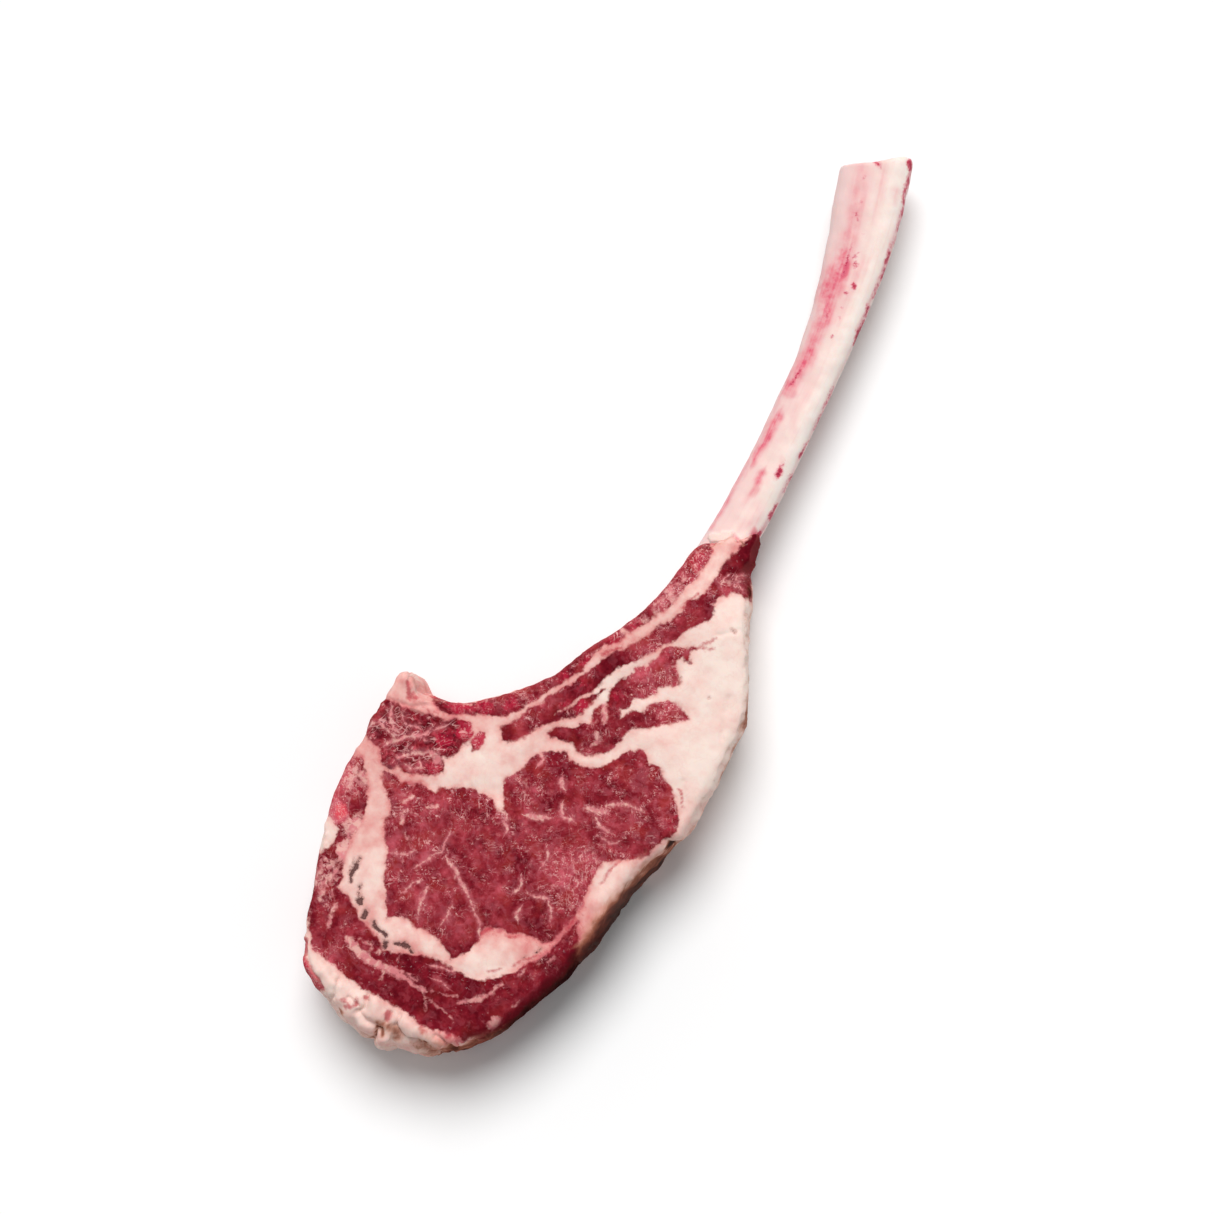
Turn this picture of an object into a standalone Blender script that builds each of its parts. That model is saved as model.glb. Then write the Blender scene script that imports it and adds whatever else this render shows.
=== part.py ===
import math

import bmesh
import bpy
import numpy as np
from mathutils import Vector, noise
from mathutils.geometry import delaunay_2d_cdt

# Raw tomahawk steak lying on its flat cut face: a thick slab of rib meat and
# fat, and the long rib bone that leaves it at the collar and runs, half sunk,
# along the hollow edge of the slab.
# Sizes are millimetres: x across the slab, y along the bone, z up.

MM = 0.001
SHIFT = Vector((1.8, 0.6, 0.0))   # brings the middle of the whole steak over the origin

THICKNESS = 44.0          # slab, between its two cut faces
WIDEST_HEIGHT = 15.0      # height at which the side stands out furthest
GAP = 0.3                 # clearance between the meat and the bone

# Lower part of the side: share of FOOT_INSET, and height above the under face.
FOOT_INSET = 4.5
FOOT_LEVELS = ((1.0, 0.0), (0.55, 1.6), (0.2, 6.0))
# Upper part of the side: degrees round the quarter ellipse up to the cut face.
SIDE_ANGLES = (0.0, 24.0, 44.0, 60.0, 74.0, 90.0)

COLLAR_START = 2.0        # y at which the slab begins to thin to the collar
COLLAR_END = 44.0
COLLAR_DROP = 9.0         # loss of height at each face by the collar end

OUTLINE_STEP = 4.6        # length of the facets round the slab
FACE_STEP = 4.4           # spacing of the facets on the upper cut face
UNDER_STEP = 11.0         # spacing of the facets on the under face

WARP = 0.7                # slow unevenness of the upper cut face
WARP_SIZE = 38.0
EYE_SWELL = 1.3           # the muscles stand a little proud of the fat seams
MUSCLE_SWELL = 1.0
SWELL_WIDTH = 12.0        # distance inside a muscle's edge that takes the swell
SEAM_DEPTH = 0.9
SEAM_WIDTH = 2.6
CRAG_HEIGHT = 1.3         # rough muscle beside the knob
CRAG_SIZE = 8.0
RIND_LUMP = 1.1           # unevenness of the fat rind round the side
RIND_LUMP_SIZE = 13.0
RIND_START = 20.0         # y below which the rind grows uneven
RIND_FULL = -60.0

# Widest line of the slab: x, y, and how far the upper cut face stands in.
# It runs from the collar down the fat side, round the foot of the steak, up
# past the knob and back along the hollow edge.
WIDEST_LINE = (
    (34.0, 44.0, 3.5), (35.5, 38.8, 3.5), (36.6, 33.2, 3.5), (36.8, 28.8, 3.5),
    (40.8, 25.9, 3.5), (43.0, 20.8, 3.5), (46.0, 12.5, 3.5), (49.8, 4.1, 3.5),
    (54.4, -5.1, 3.5), (59.8, -14.9, 3.5), (64.9, -25.3, 4.0), (66.0, -37.0, 4.0),
    (67.1, -52.0, 4.0), (67.4, -66.0, 4.0), (68.3, -76.0, 4.0), (65.4, -84.0, 4.0),
    (64.7, -91.0, 4.5), (62.0, -102.0, 4.5), (59.4, -115.0, 4.5), (58.2, -127.8, 5.0),
    (57.5, -139.0, 6.0), (54.3, -147.0, 6.0), (53.9, -155.8, 6.0), (49.2, -167.5, 6.0),
    (44.8, -179.5, 6.0), (39.8, -192.2, 6.0), (31.9, -203.0, 7.0), (22.3, -211.0, 9.0),
    (11.5, -216.0, 12.0), (6.0, -216.4, 12.0), (1.0, -220.8, 12.0), (-4.0, -220.0, 12.0),
    (-13.0, -220.3, 11.0), (-24.5, -217.8, 9.0), (-35.7, -213.6, 6.0), (-44.6, -207.7, 4.0),
    (-50.2, -196.3, 3.5), (-54.9, -185.6, 3.5), (-58.9, -173.0, 3.5), (-63.6, -161.0, 3.5),
    (-67.3, -149.0, 3.5), (-71.1, -136.3, 3.5), (-71.7, -124.0, 3.5), (-71.6, -112.0, 3.5),
    (-71.8, -100.0, 3.5), (-71.7, -88.0, 3.5), (-70.7, -78.3, 3.5), (-65.9, -75.4, 3.5),
    (-61.2, -79.4, 3.5), (-54.5, -80.6, 3.5), (-45.8, -78.4, 3.5), (-38.0, -74.4, 3.5),
    (-31.0, -67.3, 3.5), (-22.0, -58.3, 3.5), (-14.8, -48.2, 3.5), (-9.9, -38.6, 3.5),
    (-5.9, -28.4, 3.5), (-0.3, -18.8, 3.5), (3.9, -9.7, 3.5), (6.8, -1.0, 3.5),
    (8.5, 7.3, 3.5), (10.0, 17.3, 3.0), (10.8, 27.1, 3.0), (13.8, 32.6, 3.0),
    (21.0, 38.6, 3.0), (27.5, 42.5, 3.0),
)

# Muscles of the upper cut face that stand proud of the fat round them.
EYE_OUTLINE = (
    (1, -75), (14, -74), (21, -75), (30, -62), (35, -57), (45, -61), (58, -68),
    (65, -79), (61, -93), (49, -101), (46, -110), (47, -128), (43, -144),
    (28, -148), (16, -154), (16, -163), (10, -171), (-8, -167), (-23, -170),
    (-33, -153), (-43, -136), (-54, -120), (-38, -117), (-20, -107), (-5, -102),
    (-6, -92),
)
CAP_OUTLINE = (
    (-56, -150), (-46, -168), (-34, -178), (-15, -184), (5, -176), (22, -174),
    (38, -160), (49, -133), (52, -150), (44, -175), (36, -192), (20, -199),
    (-18, -201), (-40, -196), (-50, -183),
)
UPPER_MUSCLE_OUTLINE = (
    (34, -10), (35, -24), (28, -35), (45, -36), (33, -46), (26, -60), (15, -70),
    (-2, -70), (10, -58), (14, -38), (20, -25), (25, -12),
)
CRAG_OUTLINE = (
    (-67, -93), (-50, -89), (-34, -85), (-28, -91), (-34, -107), (-50, -114),
    (-67, -107),
)

# Rib bone: x, y of its centre line, width across the slab, depth through it.
BONE_STATIONS = (
    (-7.2, 222.0, 30.2, 17.0), (-3.2, 209.3, 30.3, 17.0), (1.3, 195.2, 30.2, 16.8),
    (6.1, 180.4, 28.2, 16.6), (11.0, 160.3, 25.4, 16.4), (14.9, 140.2, 22.1, 16.4),
    (17.7, 120.0, 20.4, 16.6), (19.3, 100.0, 20.3, 17.0), (20.9, 80.0, 20.3, 17.6),
    (21.7, 60.0, 20.7, 18.4), (22.0, 45.0, 20.9, 19.2), (21.2, 30.0, 20.4, 20.0),
    (19.2, 16.0, 19.4, 20.6), (15.8, -0.9, 18.6, 21.0), (11.9, -13.1, 18.2, 21.2),
    (7.5, -22.4, 18.0, 21.2), (1.8, -32.2, 18.0, 21.2), (-2.1, -42.1, 18.0, 21.2),
    (-7.6, -52.9, 18.0, 21.2), (-15.3, -63.8, 18.2, 21.2), (-25.5, -73.9, 18.2, 21.0),
    (-34.2, -81.2, 17.4, 20.0), (-43.4, -86.6, 15.0, 17.0), (-50.6, -89.0, 8.0, 9.0),
)
BONE_HEIGHT = 21.0        # height of the centre line of the bone
BONE_SQUARENESS = 2.6     # 2 is an ellipse, larger is squarer
BONE_SIDES = 28
BONE_STEP = 6.5
RIDGE_HEIGHT = 0.8        # low ridge along the hollow side of the bone
RIDGE_ANGLE = 120.0
RIDGE_SPREAD = 20.0
SAW_POINT = Vector((-4.4, 210.6, 0.0))
SAW_LINE = Vector((26.0, 16.2, 0.0))   # run of the slanting saw cut across the bone


def curve_through(points, step, closed):
    """Evenly spaced rows on a smooth curve through the given rows."""
    rows = np.array(points, dtype=float)
    count = len(rows)
    dense = []
    for i in range(count if closed else count - 1):
        if closed:
            a, b, c, d = (rows[(i + k) % count] for k in (-1, 0, 1, 2))
        else:
            a, b, c, d = (rows[min(max(i + k, 0), count - 1)] for k in (-1, 0, 1, 2))
        for t in np.arange(0.0, 1.0, 0.04):
            line = 2 * b + (c - a) * t
            bend = (2 * a - 5 * b + 4 * c - d) * t ** 2 + (3 * b - a - 3 * c + d) * t ** 3
            dense.append(0.5 * (line + bend))
    dense.append(rows[0] if closed else rows[-1])
    dense = np.array(dense)
    runs = np.linalg.norm(np.diff(dense[:, :2], axis=0), axis=1)
    along = np.concatenate([[0.0], np.cumsum(runs)])
    wanted = np.linspace(0.0, along[-1], round(along[-1] / step) + 1)
    if closed:
        wanted = wanted[:-1]
    return np.stack([np.interp(wanted, along, column) for column in dense.T], 1)


def distance_inside(spots, outline):
    """Distance from each spot to a closed outline, positive inside it."""
    x, y = np.asarray(spots, dtype=float).T
    corners = np.array(outline, dtype=float)
    nearest = np.full(len(x), np.inf)
    inside = np.zeros(len(x), dtype=bool)
    for (ax, ay), (bx, by) in zip(corners, np.roll(corners, -1, axis=0)):
        ux, uy = bx - ax, by - ay
        t = np.clip(((x - ax) * ux + (y - ay) * uy) / (ux * ux + uy * uy), 0.0, 1.0)
        nearest = np.minimum(nearest, np.hypot(x - ax - t * ux, y - ay - t * uy))
        if ay != by:
            crosses = (ay > y) != (by > y)
            inside ^= crosses & (x < ax + (y - ay) * ux / uy)
    return np.where(inside, nearest, -nearest)


def ramp(value, low, high):
    """Smooth step from 0 at low to 1 at high."""
    t = np.clip((value - low) / (high - low), 0.0, 1.0)
    return t * t * (3.0 - 2.0 * t)


def lumps(spots, size):
    """Smooth unevenness between -1 and 1, with features of the given size."""
    return np.array([noise.noise(Vector(spot).to_3d() / size) for spot in spots])


def collar(y):
    """Loss of height at either face towards the collar."""
    return COLLAR_DROP * ramp(y, COLLAR_START, COLLAR_END)


def upper_face(spots):
    """Height of the upper cut face, with its muscles and seams."""
    height = THICKNESS - collar(spots[:, 1]) + WARP * lumps(spots, WARP_SIZE)
    muscles = ((EYE_OUTLINE, EYE_SWELL), (CAP_OUTLINE, MUSCLE_SWELL),
               (UPPER_MUSCLE_OUTLINE, MUSCLE_SWELL))
    for outline, swell in muscles:
        depth = distance_inside(spots, outline)
        height += swell * ramp(depth, 0.0, SWELL_WIDTH)
        height -= SEAM_DEPTH * np.exp(-(depth / SEAM_WIDTH) ** 2)
    crag = ramp(distance_inside(spots, CRAG_OUTLINE), -1.0, 5.0)
    return height + CRAG_HEIGHT * crag * lumps(spots, CRAG_SIZE)


def under_face(spots):
    """Height of the under face: flat, and rising a little to the collar."""
    return collar(spots[:, 1])


def outward_of(line):
    """Directions square to a closed line that runs clockwise, evened out."""
    ahead = np.roll(line, -2, axis=0) - np.roll(line, 2, axis=0)
    outward = np.stack([-ahead[:, 1], ahead[:, 0]], 1)
    outward = outward + np.roll(outward, 1, axis=0) + np.roll(outward, -1, axis=0)
    return outward / np.linalg.norm(outward, axis=1)[:, None]


def side_rings():
    """Rings of points round the side of the slab, from the foot to the top."""
    line = curve_through(WIDEST_LINE, OUTLINE_STEP, closed=True)
    widest, inset = line[:, :2], line[:, 2:]
    outward = outward_of(widest)
    rings = []
    for share, height in FOOT_LEVELS:
        spots = widest - outward * FOOT_INSET * share
        rings.append(np.column_stack([spots, height + under_face(spots)]))
    for angle in SIDE_ANGLES:
        turn = math.radians(angle)
        spots = widest - outward * inset * (1.0 - math.cos(turn))
        low = WIDEST_HEIGHT + 0.5 * collar(spots[:, 1])
        height = low + (upper_face(spots) - low) * math.sin(turn)
        rings.append(np.column_stack([spots, height]))
    for ring in rings[1:-1]:
        swell = RIND_LUMP * lumps(ring, RIND_LUMP_SIZE)
        swell *= ramp(-ring[:, 1], -RIND_START, -RIND_FULL)
        ring[:, :2] += outward * swell[:, None]
    return rings


def spots_within(rim, step):
    """Staggered rows of spots that fill an outline."""
    low, high = rim.min(axis=0), rim.max(axis=0)
    spots = []
    for row, y in enumerate(np.arange(low[1], high[1], step * math.sqrt(0.75))):
        first = low[0] + (row % 2) * step / 2
        spots += [(x, y) for x in np.arange(first, high[0], step)]
    spots = np.array(spots)
    return spots[distance_inside(spots, rim) > 0.55 * step]


def build_meat():
    rings = side_rings()
    count = len(rings[0])
    vertices = np.concatenate(rings)
    faces = []
    for k in range(len(rings) - 1):
        for i in range(count):
            a, b = k * count + i, k * count + (i + 1) % count
            faces += [(a, b, b + count), (a, b + count, a + count)]
    rim_edges = [(i, (i + 1) % count) for i in range(count)]
    last = len(rings) - 1
    for ring, step, face_height in ((0, UNDER_STEP, under_face), (last, FACE_STEP, upper_face)):
        rim = rings[ring][:, :2]
        spots = spots_within(rim, step)
        flat = [Vector(spot) for spot in np.concatenate([rim, spots])]
        triangles = delaunay_2d_cdt(flat, rim_edges, [], 1, 1e-6)[2]
        ids = list(range(ring * count, (ring + 1) * count))
        ids += range(len(vertices), len(vertices) + len(spots))
        faces += [tuple(ids[n] for n in triangle) for triangle in triangles]
        vertices = np.concatenate([vertices, np.column_stack([spots, face_height(spots)])])
    return solid("meat", vertices, faces)


def bone_sweep(name, extra):
    """The rib as a run of rounded sections, grown by extra on every side."""
    line = curve_through(BONE_STATIONS, BONE_STEP, closed=False)
    ahead = np.gradient(line[:, :2], axis=0)
    ahead /= np.linalg.norm(ahead, axis=1)[:, None]
    line[-1, :2] += ahead[-1] * extra
    vertices = []
    for (x, y, width, depth), (ux, uy) in zip(line, ahead):
        for degrees in np.arange(BONE_SIDES) * 360.0 / BONE_SIDES:
            c, s = math.cos(math.radians(degrees)), math.sin(math.radians(degrees))
            power = abs(c) ** BONE_SQUARENESS + abs(s) ** BONE_SQUARENESS
            reach = power ** (-1.0 / BONE_SQUARENESS)
            side = (0.5 * width + extra) * reach * c
            rise = (0.5 * depth + extra) * reach * s
            rise += RIDGE_HEIGHT * math.exp(-((degrees - RIDGE_ANGLE) / RIDGE_SPREAD) ** 2)
            vertices.append((x + uy * side, y - ux * side, BONE_HEIGHT + rise))
    faces = [tuple(range(BONE_SIDES))]
    faces.append(tuple(range(len(vertices) - BONE_SIDES, len(vertices))))
    for i in range(len(line) - 1):
        for k in range(BONE_SIDES):
            a, b = i * BONE_SIDES + k, i * BONE_SIDES + (k + 1) % BONE_SIDES
            faces.append((a, b, b + BONE_SIDES, a + BONE_SIDES))
    return solid(name, vertices, faces)


def saw_off(bone):
    """Slanting saw cut at the free end of the bone."""
    shape = bmesh.new()
    shape.from_mesh(bone.data)
    square = Vector((-SAW_LINE.y, SAW_LINE.x, 0.0)).normalized()
    everything = shape.verts[:] + shape.edges[:] + shape.faces[:]
    cut = bmesh.ops.bisect_plane(shape, geom=everything, plane_co=(SAW_POINT + SHIFT) * MM,
                                 plane_no=square, clear_outer=True)
    rim = [edge for edge in cut["geom_cut"] if isinstance(edge, bmesh.types.BMEdge)]
    bmesh.ops.contextual_create(shape, geom=rim)
    bmesh.ops.recalc_face_normals(shape, faces=shape.faces)
    shape.to_mesh(bone.data)
    shape.free()


def solid(name, vertices, faces):
    """Object made of points in millimetres and the faces between them."""
    shape = bmesh.new()
    points = [shape.verts.new((Vector(vertex) + SHIFT) * MM) for vertex in vertices]
    for face in faces:
        shape.faces.new([points[i] for i in face])
    bmesh.ops.recalc_face_normals(shape, faces=shape.faces)
    mesh = bpy.data.meshes.new(name)
    shape.to_mesh(mesh)
    shape.free()
    thing = bpy.data.objects.new(name, mesh)
    bpy.context.scene.collection.objects.link(thing)
    return thing


def cut_away(thing, tool):
    """Takes the tool's shape out of the thing, and removes the tool."""
    cut = thing.modifiers.new(tool.name, "BOOLEAN")
    cut.operation = "DIFFERENCE"
    cut.solver = "EXACT"
    cut.object = tool
    bpy.context.view_layer.objects.active = thing
    bpy.ops.object.modifier_apply(modifier=cut.name)
    bpy.data.objects.remove(tool, do_unlink=True)


def paint(thing, colour, roughness):
    material = bpy.data.materials.new(thing.name)
    material.use_nodes = True
    shader = material.node_tree.nodes["Principled BSDF"]
    shader.inputs["Base Color"].default_value = (*colour, 1.0)
    shader.inputs["Roughness"].default_value = roughness
    shader.inputs["Metallic"].default_value = 0.0
    thing.data.materials.clear()
    thing.data.materials.append(material)


for old in list(bpy.data.objects):
    bpy.data.objects.remove(old, do_unlink=True)

meat = build_meat()
cut_away(meat, bone_sweep("bone_seat", GAP))
paint(meat, (0.36, 0.06, 0.07), 0.42)

rib_bone = bone_sweep("rib_bone", 0.0)
saw_off(rib_bone)
paint(rib_bone, (0.80, 0.62, 0.52), 0.48)
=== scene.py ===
import math

import bpy
import numpy as np
from mathutils import Matrix, Vector, noise


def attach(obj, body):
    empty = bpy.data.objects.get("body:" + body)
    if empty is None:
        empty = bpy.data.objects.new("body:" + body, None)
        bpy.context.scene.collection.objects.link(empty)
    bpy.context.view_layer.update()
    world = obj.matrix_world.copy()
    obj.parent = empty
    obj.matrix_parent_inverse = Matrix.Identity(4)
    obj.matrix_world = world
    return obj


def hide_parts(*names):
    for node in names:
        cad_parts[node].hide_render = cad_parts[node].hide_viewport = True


# Raw rib steak on its long bare bone. Shapes and marks are drawn on the upper
# cut face as flat points in millimetres, x across and y along the steak.

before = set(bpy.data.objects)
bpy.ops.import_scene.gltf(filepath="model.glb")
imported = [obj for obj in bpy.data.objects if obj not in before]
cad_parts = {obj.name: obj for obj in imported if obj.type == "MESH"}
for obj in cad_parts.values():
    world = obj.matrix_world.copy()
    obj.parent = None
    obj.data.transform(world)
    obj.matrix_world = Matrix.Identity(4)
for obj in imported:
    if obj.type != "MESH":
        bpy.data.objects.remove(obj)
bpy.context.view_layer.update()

noise.seed_set(4)                          # the same drift each run

MM = 0.001
MIDDLE = np.array((1.8, 0.6))              # from the drawing's zero to the part's
FACE_LEVEL = 44.0                          # height of the upper cut face
BONE_LEVEL = 29.0                          # height at which the bone's marks are drawn
FAR_POINT = np.array((207.5, -69.3, 1442.9))   # the fibres all run toward it
LIGHT = 1.12                               # brightness of a white face turned up

SLAB_GRAIN = 1.37                          # spacing of the points on the sides of the meat
BONE_GRAIN = 0.9
WEIGHT_STEPS = 40                          # levels of a vertex group's weights
BORDER_SINK = -0.14                        # where a muscle meets fat
FILM_RISE = 1.0                            # thickness of the film left on the bone

FLOOR_SIZE = 30.0
FAR_CLIP = 40.0
SKY_LIGHT = 0.335
KEY_LIGHT = 2.86
KEY_SPREAD = math.radians(35.0)
KEY_TRAVEL = Vector((0.24, -0.47, -0.85))
LENS, SENSOR = 100.0, 36.0
VIEW_MIDDLE = np.array((-6.5, -12.0))      # point of the drawing in the middle of the view
VIEW_UP = Vector((-0.5, 0.8660254, 0.0))


# Shapes drawn on the face
EYE = (
    (2, -77), (5, -76), (9, -73.5), (12, -75), (16, -75.5), (20, -74.5), (24, -72), (28, -68),
    (30, -63), (32, -59.5), (36, -57), (40, -58), (42, -60.5), (46, -59.5), (50, -63), (54, -64.5),
    (58, -67.5), (61, -71), (64, -75), (65.5, -79), (64.5, -83), (62, -87), (60.5, -90), (60, -94),
    (56, -97.5), (52, -100.5), (46, -105), (45, -110), (45.5, -117), (46.3, -125), (46.2, -130),
    (45.2, -135), (44.2, -140), (42.4, -144.5), (39.5, -147), (35, -147), (31, -148.5), (26, -150),
    (20, -151), (16, -153.5), (15, -156), (16.5, -160), (16.5, -164), (14.5, -167.5), (12.5, -170),
    (10.5, -172.5), (8.5, -170), (5, -169), (0, -167.5), (-5, -166.5), (-9, -168.5), (-13, -167),
    (-18, -168), (-22, -171), (-24, -168), (-27, -164), (-30, -159), (-33, -153), (-36, -146),
    (-39, -142.5), (-42, -138.5), (-43, -135), (-42, -133), (-45, -129), (-48, -125.5),
    (-53, -122), (-54, -118.5), (-50, -117.5), (-46, -118.5), (-40, -117.5), (-37, -115),
    (-30, -115.5), (-30, -112.5), (-26, -111), (-21, -108), (-17, -105.5), (-14.5, -107),
    (-12, -106), (-8, -105.5), (-6.5, -108), (0, -109), (-2, -106), (-4, -102), (-7, -98.5),
    (-6.5, -95), (-3, -88), (-2.5, -82), (0, -79),
)
UPPER_MUSCLE = (
    (-2, -71), (0, -67), (4, -64.5), (8, -62.5), (8, -60), (12, -58), (11, -53), (12, -50),
    (14, -46), (12, -43), (13, -38), (16, -33), (17, -31), (16, -29), (18, -27), (21, -25),
    (23, -20), (24, -15), (25, -13), (30, -12), (33, -9), (35, -8), (33, -12), (36, -15.5),
    (32, -15), (30, -17), (33, -21), (36, -25), (34, -27.5), (30, -30), (28.5, -31), (29.5, -34),
    (27, -37), (23, -39.5), (23, -43), (22, -45), (20, -47), (22, -50), (23, -47), (25, -44),
    (29, -43), (30, -39), (31, -37), (36, -34), (39, -33), (44, -34), (47, -36), (43, -39),
    (41, -41), (38, -43), (36, -45), (32, -49), (28.5, -51), (27, -55), (26, -60), (24, -65),
    (21, -68), (17, -70.5), (14, -71), (11, -69.5), (9, -68.5), (5, -70), (1, -71),
)
LONG_STRIP = (
    (30, 38), (32, 46), (37, 46), (41, 36), (40, 29), (42, 26), (46, 20), (40, 20.5), (37, 19.5),
    (35, 17), (32.5, 15), (32, 11), (34.5, 7), (33, 3), (29.5, -1), (27.5, -5), (25.5, -10),
    (22, -16), (19, -20), (15.5, -26), (12, -30), (10, -33), (8, -37), (7.5, -42), (5, -47),
    (2.5, -50), (1.5, -54), (0, -57), (-2.5, -60), (-4, -64), (-5.5, -68), (-8, -73), (-11, -79),
    (-16.5, -83), (-20, -78), (-17, -74), (-15.5, -70), (-13.5, -65), (-10, -60), (-7, -54),
    (-5, -50), (-3, -46), (-1, -41), (2, -37), (3, -32), (6, -27), (9, -24), (11, -20), (15, -14),
    (17, -8), (20, -3), (22, 2), (22, 7), (25, 10), (26.5, 14), (27, 20), (27.5, 27), (28.5, 31),
    (29.5, 35),
)
SMALL_STRIP = (
    (10, -43), (8.5, -47), (7.5, -52), (7, -56), (4, -59), (0, -62), (-4, -67), (-8, -72),
    (-12, -78), (-10.8, -72.5), (-7, -67), (-3.5, -62), (-0.5, -58), (2.5, -55), (3, -51),
    (6, -48), (9, -44),
)
HOLLOW_EDGE = (
    (20, 31.5), (20.6, 27), (20.8, 21), (19.6, 15), (18.4, 11), (17, 4), (16, 0.5), (13.6, -3),
    (12, -8), (10.4, -11.5), (8.6, -14), (6, -17.5), (5.4, -21), (2.5, -25), (0.8, -26.7),
    (-0.6, -30), (-1.3, -33.3), (-2.5, -39), (-5, -45.8), (-8.5, -51), (-16, -60), (-26, -60),
    (-14, -40), (-6, -24), (0, -14), (4, -2), (8, 10), (10, 24), (13, 31), (16.5, 32.5),
)
HOLLOW_STRIP = (
    (-10, -49), (-15, -53), (-22, -61), (-31, -70), (-38, -77), (-46, -80.5), (-52, -82),
    (-45, -84.5), (-38, -82), (-30, -77), (-21, -73), (-17, -68), (-14, -62), (-10.5, -56),
)
CRAG = (
    (-72, -92), (-60, -91), (-50, -88), (-42, -87), (-38, -84), (-33, -83), (-31, -84.6),
    (-28.8, -86), (-28.6, -91), (-30.6, -92.4), (-31.5, -96), (-33, -100), (-36, -101),
    (-33, -104), (-32, -106), (-35, -109.5), (-40, -112), (-44, -114), (-50, -114), (-53, -117),
    (-58, -116), (-60, -111), (-67, -110), (-72, -107),
)
CRIMSON_PATCH = (
    (-27.2, -83.6), (-24.7, -83.2), (-23.4, -87), (-24.2, -91), (-26, -92), (-28, -90.4),
    (-28, -87),
)
LEFT_BAND = (
    (-74, -120), (-65, -118.5), (-61, -123), (-57, -127), (-54, -134), (-52, -139), (-51.5, -145),
    (-52, -150), (-51, -156), (-49, -162), (-47, -167), (-46, -171), (-48, -185), (-54, -190),
    (-68, -172), (-61, -163), (-58.4, -158), (-57.6, -153), (-59, -148.5), (-62, -146.6),
    (-70, -147), (-76, -138),
)
CAP = (
    (-54, -165), (-48, -170), (-42, -171), (-36, -174), (-32, -177.5), (-26, -179), (-20, -181),
    (-16, -182.5), (-12, -182), (-7, -180), (-2, -177.5), (4, -175.5), (14, -175.5), (20, -175),
    (25, -174), (28, -171), (33.5, -167), (36.5, -162.8), (39.5, -158), (42, -153.5),
    (44.2, -149.5), (45.6, -145), (46.6, -140), (47.4, -135.5), (48.6, -131), (49.6, -134.5),
    (53, -140), (56, -146), (64, -150), (62, -166), (53.4, -174), (47, -181.8), (42, -189.6),
    (37.4, -194.6), (31, -198.5), (27, -198), (20, -200.5), (15, -202.5), (9, -201), (2, -200.5),
    (-8, -201), (-16, -201.5), (-24, -200.5), (-31, -199), (-36, -198.5), (-42, -198), (-47, -193),
    (-52, -186), (-57, -175),
)
RIM_STRIP = (
    (-49.6, -194.5), (-46.8, -198.6), (-43.2, -203.2), (-38.6, -207), (-34.2, -209.6),
    (-31, -210.8), (-32, -214), (-40, -212), (-47, -206), (-54, -195),
)
MUSCLES = (
    EYE, UPPER_MUSCLE, LONG_STRIP, SMALL_STRIP, HOLLOW_STRIP, CRAG, CRIMSON_PATCH, LEFT_BAND, CAP,
    RIM_STRIP, HOLLOW_EDGE,
)

# Soft bands of fat that cross a muscle: rows of a half width and its lines.
SEAMS = (
    (2.4, ((39.5, -184.5), (39.5, -187))),
    (1.9, ((-39.6, -101.6), (-36.4, -103.6))),
    (1.8, ((-31, -186.5), (-25, -189.5), (-17, -190), (-10, -188.5))),
    (1.5, ((-10, -188.4), (-3, -188.8))),
    (1.3, ((13, -48), (15.5, -51), (17, -54.5)), ((-62, -124), (-58.4, -126.4))),
    (1.2, ((-38.6, -129), (-36.6, -132.6))),
    (1.0, ((16, -60), (18.5, -62.5), (17, -65.5)), ((-57.4, -146), (-52.6, -150), (-52, -157)),
     ((-51, -163), (-50.4, -170)), ((12.6, 8), (15, 4.6))),
    (0.9, ((-3, -188.4), (2, -189.4), (7.6, -189.2)), ((-12, -190), (-11.5, -193.5)),
     ((-57.6, -165), (-55.6, -174)), ((-51.6, -173), (-50, -179))),
    (0.8, ((22, -186), (27, -182), (31, -177.5), (33.5, -171)),
     ((-44, -176), (-43.5, -181), (-41, -186)), ((11, -1), (12.6, -3.6)),
     ((4, -17.6), (6.6, -17))),
    (0.7, ((16, 14.6), (14.6, 10.6)), ((-37.6, -121), (-40.4, -125.6))),
    (0.6, ((-17, -182), (-17.6, -186)), ((40, -160), (38.4, -164)), ((1, -27), (-2, -33)),
     ((18.6, 8), (16.4, 4)), ((-27, -120), (-30.6, -123))),
    (0.5, ((-8, -186.4), (2, -186.8)), ((7, -190), (10.5, -192.5), (12, -196.5)),
     ((-23, -183), (-20.5, -186)), ((44, -172), (43.5, -176)), ((47.2, -149), (46.6, -152.6)),
     ((-33, -136), (-30, -139))),
    (0.4, ((-31, -186), (-28, -183.6), (-24, -184)), ((-9.4, -180), (-9, -183.4))),
    (0.3, ((9, -187.5), (16, -186), (20, -184.5)), ((48.6, -134), (49.8, -139), (51.4, -145))),
    (0.2, ((6, -189.5), (10, -191), (17, -192), (24, -193.5))),
)

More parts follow.
